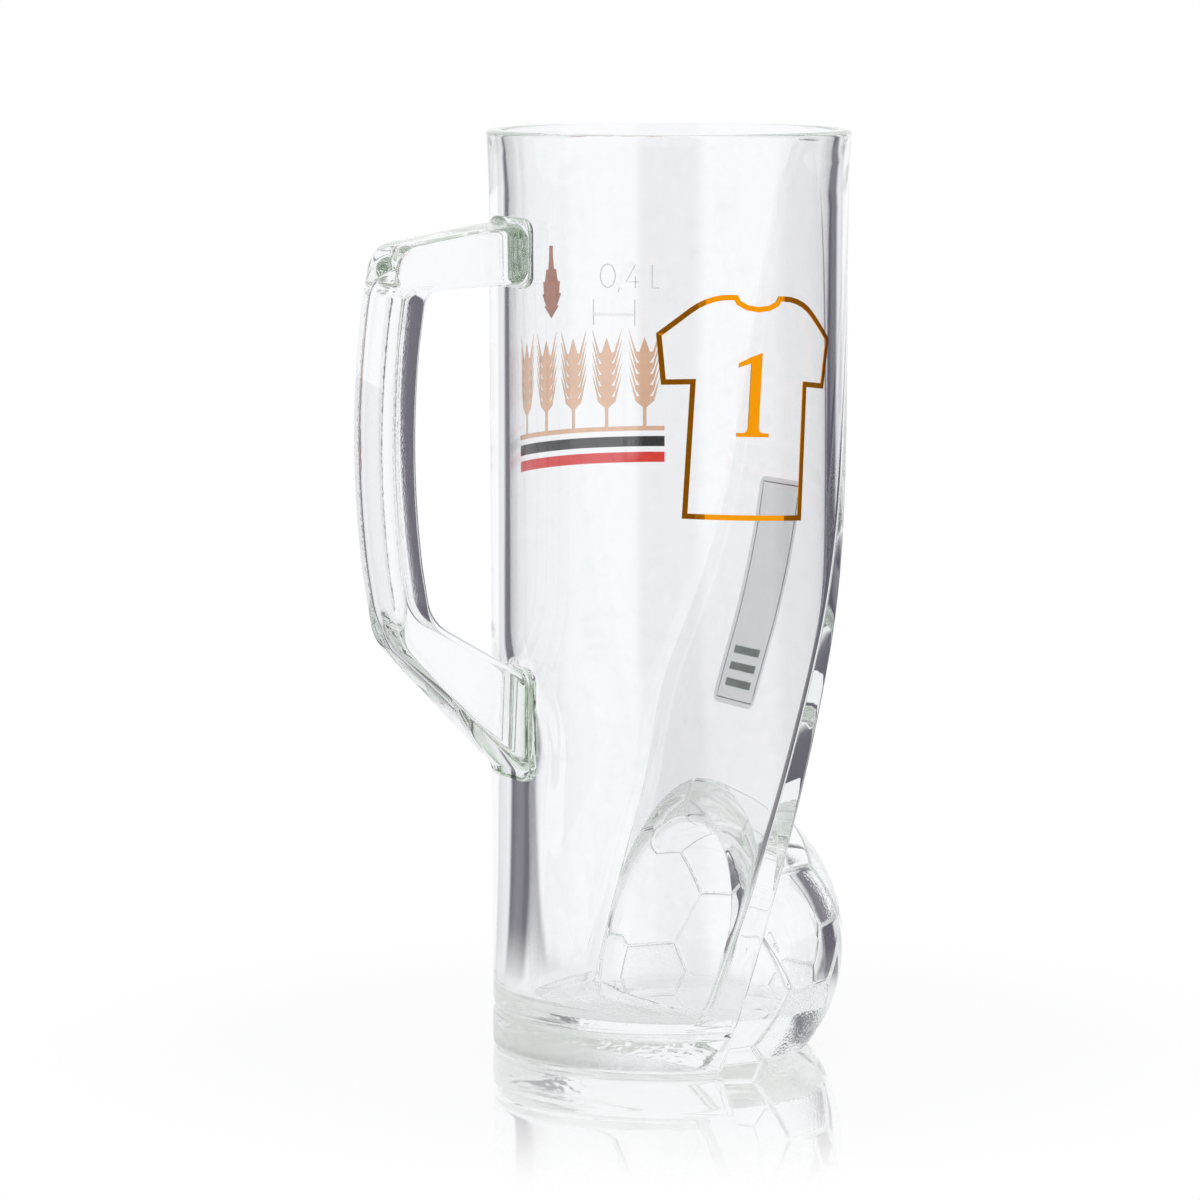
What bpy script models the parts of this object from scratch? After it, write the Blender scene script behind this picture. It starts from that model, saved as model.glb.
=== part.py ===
"""Tall glass beer mug: a round wall cut back by a slanting panel, a football swelling out of
the foot of that panel, a pressed strap handle and thin fired prints.

Metres, +Z up. The origin is on the mug's axis, on the plane it stands on. The panel and the
ball face +X, the handle faces -X, the shirt print faces -Y and the barley print faces +Y.
"""

import math

import bmesh
import bpy
from mathutils import Matrix, Vector
from mathutils.geometry import intersect_line_sphere_2d

# Round wall, rim and foot
MUG_HEIGHT = 0.193
TOP_RADIUS = 0.0375
FOOT_RADIUS = 0.0369
RIM_FLARE = 0.0006
RIM_FLARE_HEIGHT = 0.016
WALL = 0.0044
RIM_WALL = 0.0032
RIM_THINNING_HEIGHT = 0.014
LOWER_WALL = 0.0076
LOWER_WALL_TOP = 0.060
LOWER_WALL_FADE = 0.028
LOWER_WALL_STEPS = 5
LIP_ROUND = 0.0010
FLOOR = 0.010
FLOOR_CORNER = 0.004
FOOT_RING_HEIGHT = 0.0086
FOOT_GROOVE = 0.0005
FOOT_BULGE = 0.0001
FOOT_EDGE = 0.0012
ROUND_STEPS = 72
RIM_STEPS = 3
SMALL_ROUND_STEPS = 4

# Slanting panel
PANEL_TOP_DROP = 0.005
PANEL_TOP_STEP = 0.0004
PANEL_TOP_LEAN = math.radians(5.6)
PANEL_FOOT_LEAN = math.radians(18.5)
PANEL_BEND_HEIGHT = 0.105
PANEL_BEND_RADIUS = 0.190
PANEL_INNER_DROP = 0.010
PANEL_STEPS = 8

# Football
BALL_RADIUS = 0.0348
BALL_HEIGHT = 0.0215
BALL_FRONT = 0.0374
BALL_WALL = 0.0044
BALL_TURN = math.radians(43.5)
SEAM_WIDTH = 0.0010
SEAM_DEPTH = 0.0004
PATCH_RINGS = 2
SEAM_CUTS = 4
HOLLOW_STEPS = 36

# Handle
HANDLE_WIDTH = 0.0166
HANDLE_EDGE = 0.0026
HANDLE_EDGE_STEPS = 3
HANDLE_EDGE_ANGLE = math.radians(60.0)
HANDLE_ROOT = 0.006
UPPER_WELD_FLARE = 0.0022
LOWER_WELD_FLARE = 0.0044
FINGER_ROOM = 0.0253
GRIP_DEPTH = 0.0067
GRIP_MID_HEIGHT = 0.130
GRIP_BOW_RADIUS = 0.200
GRIP_STEPS = 6
UPPER_ARM_TOP = 0.1745
UPPER_ARM_TOP_LEAN = math.radians(9.0)
UPPER_ARM_UNDER = 0.1622
UPPER_ARM_UNDER_LEAN = math.radians(2.5)
LOWER_ARM_TOP = 0.0815
LOWER_ARM_TOP_LEAN = math.radians(30.0)
LOWER_ARM_UNDER = 0.0605
LOWER_ARM_UNDER_LEAN = math.radians(45.5)
UPPER_OUTER_CORNER = 0.006
UPPER_INNER_CORNER = 0.004
LOWER_OUTER_CORNER = 0.009
LOWER_INNER_CORNER = 0.009
CORNER_STEPS = 5

# Seats
JOINT_CLEARANCE = 0.0003
PRINT_CLEARANCE = 0.00006
PRINT_THICKNESS = 0.00020
PRINT_STRIP = 0.002
CUT_MARGIN = 0.010

# Shirt print
SHIRT_HEM_HEIGHT = 0.1145
SHIRT_LENGTH = 0.0459
SHIRT_HEM_HALF = 0.0138
SHIRT_CHEST_HALF = 0.0137
SHIRT_ARMPIT_DROP = 0.0185
SHIRT_SHOULDER_HALF = 0.0111
SHIRT_SHOULDER_ROUND = 0.0135
SHIRT_SLEEVE_HALF = 0.0212
SHIRT_SLEEVE_DROP = 0.0085
SHIRT_CUFF_HALF = 0.0196
SHIRT_CUFF_DROP = 0.0189
SHIRT_COLLAR_HALF = 0.0048
SHIRT_COLLAR_DEPTH = 0.0023
SHIRT_LINE = 0.0011
SHIRT_TILT = math.radians(-3.2)
SHIRT_TURN = math.radians(-1.4)

# Figure one in the shirt
FIGURE_BASE_ABOVE_HEM = 0.0171
FIGURE_ASIDE = 0.0003
FIGURE_HEIGHT = 0.0172
FIGURE_STEM = 0.0025
FIGURE_SERIF_HALF = 0.0037
FIGURE_SERIF_HEIGHT = 0.0008
FIGURE_BRACKET = 0.0011
FIGURE_FLAG_REACH = 0.0040
FIGURE_FLAG_DROP = 0.0022
FIGURE_FLAG_LINE = 0.0009

# Fill mark
FILL_HEIGHT = 0.157
FILL_LINE_LENGTH = 0.0085
FILL_LINE = 0.0006
FILL_TURN = math.radians(-46.0)

# Barley print, its two stripes and the hop cone
BARLEY_GROUND_HEIGHT = 0.128
BARLEY_EARS = 5
BARLEY_PITCH = 0.0092
BARLEY_STEM_HEIGHT = 0.0040
BARLEY_STEM_HALF = 0.0004
BARLEY_GRAINS = 5
BARLEY_GRAIN_HEIGHT = 0.0024
BARLEY_GRAIN_REACH = 0.0022
BARLEY_GRAIN_BELLY = 0.0014
BARLEY_AWN_REACH = 0.0016
BARLEY_AWN_LENGTH = 0.0050
BARLEY_AWN = 0.0003
BARLEY_WAIST = 0.0012
BARLEY_TIP = 0.0032
BARLEY_GROUND_LINE = 0.0010
BARLEY_TURN = math.radians(8.0)
STRIPE_LENGTH = 0.046
STRIPE_LINE = 0.0022
STRIPE_SPACE = 0.0012
HOP_BASE_HEIGHT = 0.152
HOP_LENGTH = 0.0130
HOP_HALF = 0.0034
HOP_SCALES = 4
HOP_SCALE_REACH = 0.0007
HOP_FULLNESS = 0.8
HOP_STEM = 0.0006
HOP_STEM_LENGTH = 0.0024
HOP_TURN = math.radians(19.0)

# Plain field on the panel
LABEL_BOTTOM = 0.0705
LABEL_LENGTH = 0.048
LABEL_WIDTH = 0.017
LABEL_CORNER = 0.002

# Finishes, each a colour, a roughness and how metallic it is
BLOWN_GLASS = ((0.90, 0.94, 0.91, 1.0), 0.02, 0.0)
MOULDED_GLASS = ((0.88, 0.93, 0.90, 1.0), 0.05, 0.0)
PRESSED_GLASS = ((0.90, 0.94, 0.91, 1.0), 0.03, 0.0)
GOLD = ((0.80, 0.36, 0.02, 1.0), 0.25, 1.0)
COPPER = ((0.45, 0.12, 0.05, 1.0), 0.35, 0.6)
BLACK = ((0.02, 0.02, 0.02, 1.0), 0.40, 0.0)
RED = ((0.60, 0.03, 0.02, 1.0), 0.40, 0.0)
WHITE = ((0.80, 0.82, 0.80, 1.0), 0.50, 0.0)
PALE_FIELD = ((0.70, 0.73, 0.72, 1.0), 0.45, 0.0)

# Mesh making
SMOOTH_ANGLE = math.radians(30.0)
SAME_POINT = 1e-7


def clear_scene():
    for old in list(bpy.data.objects):
        bpy.data.objects.remove(old, do_unlink=True)


def finish_material(name, finish):
    colour, roughness, metallic = finish
    material = bpy.data.materials.new(name)
    material.use_nodes = True
    shader = material.node_tree.nodes["Principled BSDF"]
    shader.inputs["Base Color"].default_value = colour
    shader.inputs["Roughness"].default_value = roughness
    shader.inputs["Metallic"].default_value = metallic
    return material


def make_object(name, shape, material=None):
    """Turn a bmesh into a named object with its faces pointing out."""
    bmesh.ops.recalc_face_normals(shape, faces=shape.faces)
    mesh = bpy.data.meshes.new(name)
    shape.to_mesh(mesh)
    shape.free()
    made = bpy.data.objects.new(name, mesh)
    bpy.context.scene.collection.objects.link(made)
    if material:
        mesh.materials.append(material)
        mesh.shade_smooth()
        mesh.set_sharp_from_angle(angle=SMOOTH_ANGLE)
    return made


def make_tool(name, shape):
    tool = make_object(name, shape)
    tool.hide_render = True
    tool.display_type = "WIRE"
    return tool


def use_tool(target, tool, operation):
    modifier = target.modifiers.new(f"{operation.title()} {tool.name}", "BOOLEAN")
    modifier.operation = operation
    modifier.object = tool
    modifier.solver = "EXACT"


def arc_points(centre, radius, start, end, steps):
    """Points on an arc in a flat plane, both ends included."""
    points = []
    for step in range(steps + 1):
        angle = start + (end - start) * step / steps
        points.append((centre[0] + radius * math.cos(angle), centre[1] + radius * math.sin(angle)))
    return points


def lathe(profile):
    """Solid of revolution of a profile of (radius, height) that starts and ends on the axis."""
    shape = bmesh.new()
    ring = [shape.verts.new((radius, 0.0, height)) for radius, height in profile]
    edges = [shape.edges.new(pair) for pair in zip(ring, ring[1:])]
    bmesh.ops.spin(
        shape,
        geom=ring + edges,
        axis=(0.0, 0.0, 1.0),
        cent=(0.0, 0.0, 0.0),
        angle=math.tau,
        steps=ROUND_STEPS,
        use_merge=True,
    )
    bmesh.ops.remove_doubles(shape, verts=shape.verts, dist=SAME_POINT)
    return shape


def slab(outline, half_width):
    """Solid of an outline of (x, z) points, as wide in Y as both halves."""
    shape = bmesh.new()
    face = shape.faces.new([shape.verts.new((x, -half_width, z)) for x, z in outline])
    side = bmesh.ops.extrude_face_region(shape, geom=[face])
    moved = [item for item in side["geom"] if isinstance(item, bmesh.types.BMVert)]
    bmesh.ops.translate(shape, verts=moved, vec=(0.0, 2.0 * half_width, 0.0))
    return shape


def wall_radius(height):
    """Outside radius of the round wall: a slight taper, then a flare to the rim."""
    flare_start = MUG_HEIGHT - RIM_FLARE_HEIGHT
    share = (height - FOOT_RING_HEIGHT) / (flare_start - FOOT_RING_HEIGHT)
    radius = FOOT_RADIUS + (TOP_RADIUS - FOOT_RADIUS) * min(max(share, 0.0), 1.0)
    rise = max(height - flare_start, 0.0) / RIM_FLARE_HEIGHT
    return radius + RIM_FLARE * rise**2


def wall_thickness(height):
    """The wall is thin at the rim, and swells softly to a thick foot."""
    share = (MUG_HEIGHT - height) / RIM_THINNING_HEIGHT
    thickness = RIM_WALL + (WALL - RIM_WALL) * min(max(share, 0.0), 1.0)
    depth = (LOWER_WALL_TOP + LOWER_WALL_FADE - height) / LOWER_WALL_FADE
    swell = min(max(depth, 0.0), 1.0)
    return thickness + (LOWER_WALL - WALL) * swell**2 * (3.0 - 2.0 * swell)


def inner_radius(height):
    return wall_radius(height) - wall_thickness(height)


def rim_heights():
    """Heights at which the flaring wall under the lip gets a ring, from the top down."""
    top = MUG_HEIGHT - LIP_ROUND
    low = MUG_HEIGHT - max(RIM_FLARE_HEIGHT, RIM_THINNING_HEIGHT)
    return [top + (low - top) * step / RIM_STEPS for step in range(1, RIM_STEPS + 1)]


def swell_heights():
    """Heights at which the inside gets a ring where the wall swells, from the top down."""
    rise = LOWER_WALL_FADE / LOWER_WALL_STEPS
    return [LOWER_WALL_TOP + rise * step for step in range(LOWER_WALL_STEPS, -1, -1)]


def outer_profile(grow):
    """Outside of the mug from the axis at the top to the axis at the bottom."""
    lip = wall_radius(MUG_HEIGHT) - LIP_ROUND
    lip_centre = (lip, MUG_HEIGHT - LIP_ROUND)
    points = [(0.0, MUG_HEIGHT + grow)]
    points += arc_points(lip_centre, LIP_ROUND + grow, math.pi / 2, 0.0, SMALL_ROUND_STEPS)
    points += [(wall_radius(height) + grow, height) for height in rim_heights()]
    points.append((FOOT_RADIUS + grow, FOOT_RING_HEIGHT + FOOT_GROOVE))
    points.append((FOOT_RADIUS - FOOT_GROOVE + grow, FOOT_RING_HEIGHT))
    points.append((FOOT_RADIUS + grow, FOOT_RING_HEIGHT - 2.0 * FOOT_GROOVE))
    points.append((FOOT_RADIUS + FOOT_BULGE + grow, FOOT_RING_HEIGHT / 2.0))
    edge_centre = (FOOT_RADIUS - FOOT_EDGE, FOOT_EDGE)
    points += arc_points(edge_centre, FOOT_EDGE + grow, 0.0, -math.pi / 2, SMALL_ROUND_STEPS)
    points.append((0.0, -grow))
    return points


def inner_profile():
    """Inside of the mug, from above the lip down to the floor."""
    lip = inner_radius(MUG_HEIGHT) + LIP_ROUND
    lip_centre = (lip, MUG_HEIGHT - LIP_ROUND)
    points = [(0.0, MUG_HEIGHT + CUT_MARGIN), (lip, MUG_HEIGHT + CUT_MARGIN)]
    points += arc_points(lip_centre, LIP_ROUND, math.pi / 2, math.pi, SMALL_ROUND_STEPS)
    points += [(inner_radius(height), height) for height in rim_heights() + swell_heights()]
    corner_height = FLOOR + FLOOR_CORNER
    centre = (inner_radius(corner_height) - FLOOR_CORNER, corner_height)
    points += arc_points(centre, FLOOR_CORNER, 0.0, -math.pi / 2, SMALL_ROUND_STEPS)
    points.append((0.0, FLOOR))
    return points


def panel_bend():
    """Centre of the panel's bend and the heights at which the bend starts and ends."""
    top = (TOP_RADIUS - PANEL_TOP_STEP, MUG_HEIGHT - PANEL_TOP_DROP)
    cross_x = top[0] - math.tan(PANEL_TOP_LEAN) * (top[1] - PANEL_BEND_HEIGHT)
    middle = (PANEL_TOP_LEAN + PANEL_FOOT_LEAN) / 2.0
    back = PANEL_BEND_RADIUS / math.cos((PANEL_FOOT_LEAN - PANEL_TOP_LEAN) / 2.0)
    centre_x = cross_x - back * math.cos(middle)
    centre_z = PANEL_BEND_HEIGHT + back * math.sin(middle)
    return centre_x, centre_z


def panel_point(lean, setback):
    """Point of the bend, or of its lines' ends, set back into the glass."""
    centre_x, centre_z = panel_bend()
    radius = PANEL_BEND_RADIUS - setback
    return centre_x + radius * math.cos(lean), centre_z - radius * math.sin(lean)


def panel_at(height):
    """Distance of the panel from the axis and its lean, at a height."""
    centre_x, centre_z = panel_bend()
    sine = (centre_z - height) / PANEL_BEND_RADIUS
    low = math.sin(PANEL_TOP_LEAN)
    high = math.sin(PANEL_FOOT_LEAN)
    lean = math.asin(min(max(sine, low), high))
    x, z = panel_point(lean, 0.0)
    return x + math.tan(lean) * (height - z), lean


def panel_space(setback, bottom, top_point):
    """Solid of the space in front of the panel, used for cutting."""
    front = TOP_RADIUS + RIM_FLARE + CUT_MARGIN
    outline = [(front, top_point[1]), top_point]
    for step in range(PANEL_STEPS + 1):
        lean = PANEL_TOP_LEAN + (PANEL_FOOT_LEAN - PANEL_TOP_LEAN) * step / PANEL_STEPS
        outline.append(panel_point(lean, setback))
    x, z = outline[-1]
    outline.append((x - math.tan(PANEL_FOOT_LEAN) * (z - bottom), bottom))
    outline.append((front, bottom))
    return slab(outline, front)


def ball_centre():
    return Vector((BALL_FRONT - BALL_RADIUS, 0.0, BALL_HEIGHT))


def ball_hollow():
    """Space inside the ball, flat at the floor."""
    shape = bmesh.new()
    bmesh.ops.create_uvsphere(
        shape,
        u_segments=HOLLOW_STEPS,
        v_segments=HOLLOW_STEPS // 2,
        radius=BALL_RADIUS - BALL_WALL,
    )
    bmesh.ops.translate(shape, verts=shape.verts, vec=ball_centre())
    everything = shape.verts[:] + shape.edges[:] + shape.faces[:]
    cut = bmesh.ops.bisect_plane(
        shape,
        geom=everything,
        dist=SAME_POINT,
        plane_co=(0.0, 0.0, FLOOR),
        plane_no=(0.0, 0.0, 1.0),
        clear_inner=True,
    )
    rim = [item for item in cut["geom_cut"] if isinstance(item, bmesh.types.BMEdge)]
    bmesh.ops.contextual_create(shape, geom=rim)
    return shape


def make_glass_body():
    glass = finish_material("clear_body_glass", BLOWN_GLASS)
    body = make_object("glass_body", lathe(outer_profile(0.0)), glass)
    panel_top = (TOP_RADIUS - PANEL_TOP_STEP, MUG_HEIGHT - PANEL_TOP_DROP)
    front = make_tool("panel_cutter", panel_space(0.0, -CUT_MARGIN, panel_top))
    inside = make_tool("inside_cutter", lathe(inner_profile()))
    inner_top_height = MUG_HEIGHT - PANEL_INNER_DROP
    inner_top = (inner_radius(inner_top_height), inner_top_height)
    behind = make_tool("panel_wall_keeper", panel_space(WALL, FLOOR - CUT_MARGIN, inner_top))
    opening = make_tool("ball_opening", ball_hollow())
    through_panel = panel_space(WALL + JOINT_CLEARANCE, FLOOR - CUT_MARGIN, inner_top)
    use_tool(opening, make_tool("opening_room", through_panel), "INTERSECT")
    use_tool(inside, behind, "DIFFERENCE")
    use_tool(body, front, "DIFFERENCE")
    use_tool(body, inside, "DIFFERENCE")
    use_tool(body, opening, "DIFFERENCE")
    return body


def edge_middle(edge):
    return (edge.verts[0].co + edge.verts[1].co) / 2.0


def add_ring(shape, patch, share):
    """Ring of faces round a patch, which shrinks to a share of its size."""
    bmesh.ops.inset_individual(shape, faces=[patch], thickness=0.0)
    centre = patch.calc_center_median()
    for vertex in patch.verts:
        vertex.co = centre.lerp(vertex.co, share)


def seamed_ball():
    """Ball of 12 pentagons and 20 hexagons, with a groove along every seam."""
    shape = bmesh.new()
    bmesh.ops.create_icosphere(shape, subdivisions=1, radius=BALL_RADIUS)
    third = 100.0 / 3.0
    bmesh.ops.bevel(
        shape,
        geom=shape.verts[:],
        offset=third,
        offset_type="PERCENT",
        segments=1,
        affect="VERTICES",
    )
    stretch = BALL_RADIUS / next(iter(shape.verts)).co.length
    bmesh.ops.scale(shape, verts=shape.verts, vec=(stretch, stretch, stretch))
    bmesh.ops.subdivide_edges(shape, edges=shape.edges[:], cuts=SEAM_CUTS)
    seams = list(shape.verts)
    patches = shape.faces[:]
    for patch in patches:
        centre = patch.calc_center_median()
        reach = min((edge_middle(edge) - centre).length for edge in patch.edges)
        add_ring(shape, patch, 1.0 - SEAM_WIDTH / 2.0 / reach)
        for ring in range(PATCH_RINGS, 0, -1):
            add_ring(shape, patch, ring / (ring + 1.0))
    bmesh.ops.poke(shape, faces=patches)
    for vertex in shape.verts:
        vertex.co = vertex.co.normalized() * BALL_RADIUS
    for vertex in seams:
        vertex.co = vertex.co.normalized() * (BALL_RADIUS - SEAM_DEPTH)
    return shape


def make_football():
    glass = finish_material("clear_ball_glass", MOULDED_GLASS)
    ball = make_object("football", seamed_ball(), glass)
    ball.location = ball_centre()
    ball.rotation_euler.z = BALL_TURN
    top = panel_point(PANEL_TOP_LEAN, -JOINT_CLEARANCE)
    room = make_tool("ball_room", panel_space(-JOINT_CLEARANCE, 0.0, (top[0], top[1] + CUT_MARGIN)))
    use_tool(ball, room, "INTERSECT")
    use_tool(ball, make_tool("ball_hollow", ball_hollow()), "DIFFERENCE")
    return ball


def grip_x(height, reach, bow_radius):
    """Place of the bowed grip at a height, for a face at a reach from the axis."""
    rise = height - GRIP_MID_HEIGHT
    return -(reach - bow_radius + math.sqrt(bow_radius**2 - rise**2))


def grip_corner(arm_height, arm_lean, reach, bow_radius):
    """Where an arm's edge, rising outwards by its lean, meets the grip's face."""
    root = Vector((-TOP_RADIUS, arm_height))
    along = Vector((-math.cos(arm_lean), math.sin(arm_lean)))
    middle = (bow_radius - reach, GRIP_MID_HEIGHT)
    crossings = intersect_line_sphere_2d(root, root + along, middle, bow_radius, False)
    return tuple(min(crossings, key=lambda crossing: crossing.x))


def corner_half(before, corner, after):
    """Half of the angle between the two sides of an outline's corner."""
    point = Vector(corner)
    return (Vector(before) - point).angle(Vector(after) - point) / 2.0


def round_corner(before, corner, after, radius):
    """Arc that replaces a corner of an outline."""
    point = Vector(corner)
    back = (Vector(before) - point).normalized()
    on = (Vector(after) - point).normalized()
    half = corner_half(before, corner, after)
    centre = point + (back + on).normalized() * (radius / math.sin(half))
    reach = radius / math.tan(half)
    start = point + back * reach - centre
    end = point + on * reach - centre
    first = math.atan2(start.y, start.x)
    swing = math.remainder(math.atan2(end.y, end.x) - first, math.tau)
    return arc_points(centre, radius, first, first + swing, CORNER_STEPS)


def grip_face(corner_a, corner_b, reach, bow_radius):
    """Points of a bowed face between two corners, without the corners."""
    points = []
    for step in range(1, GRIP_STEPS):
        height = corner_a[1] + (corner_b[1] - corner_a[1]) * step / GRIP_STEPS
        points.append((grip_x(height, reach, bow_radius), height))
    return points


def weld_flare(arm_point, corner, flare):
    """Curve by which an arm's edge spreads along the wall, up or down, and a point in the wall."""
    wall_point = (corner[0], corner[1] + flare)
    radius = abs(flare) * math.tan(corner_half(arm_point, corner, wall_point))
    spread = round_corner(arm_point, corner, wall_point, radius)
    return spread + [(corner[0] + HANDLE_ROOT, wall_point[1])]


def handle_outline():
    """Side view of the strap: two arms and a bowed grip, from the upper root round to it."""
    inner_reach = TOP_RADIUS + FINGER_ROOM
    outer_reach = inner_reach + GRIP_DEPTH
    outer_bow = GRIP_BOW_RADIUS
    inner_bow = GRIP_BOW_RADIUS - GRIP_DEPTH
    top_out = grip_corner(UPPER_ARM_TOP, -UPPER_ARM_TOP_LEAN, outer_reach, outer_bow)
    low_out = grip_corner(LOWER_ARM_UNDER, LOWER_ARM_UNDER_LEAN, outer_reach, outer_bow)
    low_in = grip_corner(LOWER_ARM_TOP, LOWER_ARM_TOP_LEAN, inner_reach, inner_bow)
    top_in = grip_corner(UPPER_ARM_UNDER, -UPPER_ARM_UNDER_LEAN, inner_reach, inner_bow)

    outside = grip_face(top_out, low_out, outer_reach, outer_bow)
    inside = grip_face(low_in, top_in, inner_reach, inner_bow)
    upper_top = (-TOP_RADIUS, UPPER_ARM_TOP)
    upper_under = (-TOP_RADIUS, UPPER_ARM_UNDER)
    lower_top = (-TOP_RADIUS, LOWER_ARM_TOP)
    lower_under = (-TOP_RADIUS, LOWER_ARM_UNDER)
    outline = weld_flare(top_out, upper_top, UPPER_WELD_FLARE)[::-1]
    outline += round_corner(upper_top, top_out, outside[0], UPPER_OUTER_CORNER)
    outline += outside
    outline += round_corner(outside[-1], low_out, lower_under, LOWER_OUTER_CORNER)
    outline += weld_flare(low_out, lower_under, -LOWER_WELD_FLARE)
    outline += weld_flare(low_in, lower_top, LOWER_WELD_FLARE)[::-1]
    outline += round_corner(lower_top, low_in, inside[0], LOWER_INNER_CORNER)
    outline += inside
    outline += round_corner(inside[-1], top_in, upper_under, UPPER_INNER_CORNER)
    outline += weld_flare(top_in, upper_under, -UPPER_WELD_FLARE)
    return outline


def make_handle():
    glass = finish_material("clear_handle_glass", PRESSED_GLASS)
    handle = make_object("handle", slab(handle_outline(), HANDLE_WIDTH / 2.0), glass)
    edges = handle.modifiers.new("Rounded edges", "BEVEL")
    edges.width = HANDLE_EDGE
    edges.segments = HANDLE_EDGE_STEPS
    edges.limit_method = "ANGLE"
    edges.angle_limit = HANDLE_EDGE_ANGLE
    wall = make_tool("handle_seat", lathe(outer_profile(JOINT_CLEARANCE)))
    use_tool(handle, wall, "DIFFERENCE")
    return handle


def on_wall(facing, across, height, lift):
    """Place on the round wall, `across` round it from the direction it faces."""
    radius = wall_radius(height)
    angle = facing + across / radius
    reach = radius + lift
    return Vector((reach * math.sin(angle), -reach * math.cos(angle), height))


def on_panel(across, height, lift):
    x, lean = panel_at(height)
    return Vector((x + lift * math.cos(lean), across, height - lift * math.sin(lean)))


def make_print(name, flat, place, material, upright_cuts):
    """Thicken a flat shape of (across, 0, height) and lay it on the glass.

    It is first cut into strips so that it can follow the curve that it lies on."""
    step = Vector((PRINT_STRIP, 0.0, 0.0)) if upright_cuts else Vector((0.0, 0.0, PRINT_STRIP))
    along = step.normalized()
    spread = [vertex.co.dot(along) for vertex in flat.verts]
    position = min(spread) + PRINT_STRIP
    while position < max(spread):
        everything = flat.verts[:] + flat.edges[:] + flat.faces[:]
        bmesh.ops.bisect_plane(
            flat, geom=everything, dist=SAME_POINT, plane_co=along * position, plane_no=along
        )
        position += PRINT_STRIP
    bmesh.ops.triangulate(flat, faces=flat.faces[:])
    side = bmesh.ops.extrude_face_region(flat, geom=flat.faces[:])
    for item in side["geom"]:
        if isinstance(item, bmesh.types.BMVert):
            item.co.y = PRINT_THICKNESS
    for vertex in flat.verts:
        across, lift, height = vertex.co
        vertex.co = place(across, height, PRINT_CLEARANCE + lift)
    return make_object(name, flat, material)


def flat_face(outline):
    shape = bmesh.new()
    shape.faces.new([shape.verts.new((across, 0.0, height)) for across, height in outline])
    return shape


def flat_band(outline, line):
    """Closed line of even width just inside an outline."""
    count = len(outline)
    shape = bmesh.new()
    outer = [Vector(point) for point in outline]
    inner = []
    for index, point in enumerate(outer):
        before = (point - outer[index - 1]).normalized()
        after = (outer[(index + 1) % count] - point).normalized()
        normal_a = Vector((-before.y, before.x))
        normal_b = Vector((-after.y, after.x))
        inner.append(point + (normal_a + normal_b) * line / (1.0 + normal_a.dot(normal_b)))
    rings = [[shape.verts.new((p.x, 0.0, p.y)) for p in ring] for ring in (outer, inner)]
    for index in range(count):
        after = (index + 1) % count
        shape.faces.new((rings[0][index], rings[0][after], rings[1][after], rings[1][index]))
    return shape


def tilted(points):
    """Turn the shirt print's points about the middle of its hem and length."""
    middle = Vector((0.0, SHIRT_HEM_HEIGHT + SHIRT_LENGTH / 2.0))
    turn = Matrix.Rotation(SHIRT_TILT, 2)
    return [tuple(middle + turn @ (Vector(point) - middle)) for point in points]


def shirt_outline():
    """Shirt, from the hem's right end round, with rounded shoulders and a curved collar."""
    top = SHIRT_HEM_HEIGHT + SHIRT_LENGTH
    sleeve = (SHIRT_SLEEVE_HALF, top - SHIRT_SLEEVE_DROP)
    shoulder = (SHIRT_SHOULDER_HALF, top)
    neck = (SHIRT_COLLAR_HALF, top)
    right = [
        (SHIRT_HEM_HALF, SHIRT_HEM_HEIGHT),
        (SHIRT_CHEST_HALF, top - SHIRT_ARMPIT_DROP),
        (SHIRT_CUFF_HALF, top - SHIRT_CUFF_DROP),
        sleeve,
    ]
    right += round_corner(sleeve, shoulder, neck, SHIRT_SHOULDER_ROUND)
    right.append(neck)
    collar = []
    for step in range(1, CORNER_STEPS + 1):
        angle = math.pi * step / (CORNER_STEPS + 1)
        across = SHIRT_COLLAR_HALF * math.cos(angle)
        collar.append((across, top - SHIRT_COLLAR_DEPTH * math.sin(angle)))
    left = [(-across, height) for across, height in reversed(right)]
    return tilted(right + collar + left)


def figure_outline():
    base = SHIRT_HEM_HEIGHT + FIGURE_BASE_ABOVE_HEM
    top = base + FIGURE_HEIGHT
    stem = FIGURE_STEM / 2.0
    foot = base + FIGURE_SERIF_HEIGHT
    serif = (FIGURE_SERIF_HALF, foot)
    bracket = round_corner(serif, (stem, foot), (stem, top), FIGURE_BRACKET)
    outline = [(-FIGURE_SERIF_HALF, base), (FIGURE_SERIF_HALF, base), serif]
    outline += bracket
    outline += [
        (stem, top),
        (-stem, top - FIGURE_FLAG_LINE),
        (-FIGURE_FLAG_REACH, top - FIGURE_FLAG_DROP),
        (-FIGURE_FLAG_REACH, top - FIGURE_FLAG_DROP - FIGURE_FLAG_LINE),
        (-stem, top - FIGURE_FLAG_DROP),
    ]
    outline += [(-across, height) for across, height in reversed(bracket)]
    outline.append((-FIGURE_SERIF_HALF, foot))
    return tilted([(across + FIGURE_ASIDE, height) for across, height in outline])


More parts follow.
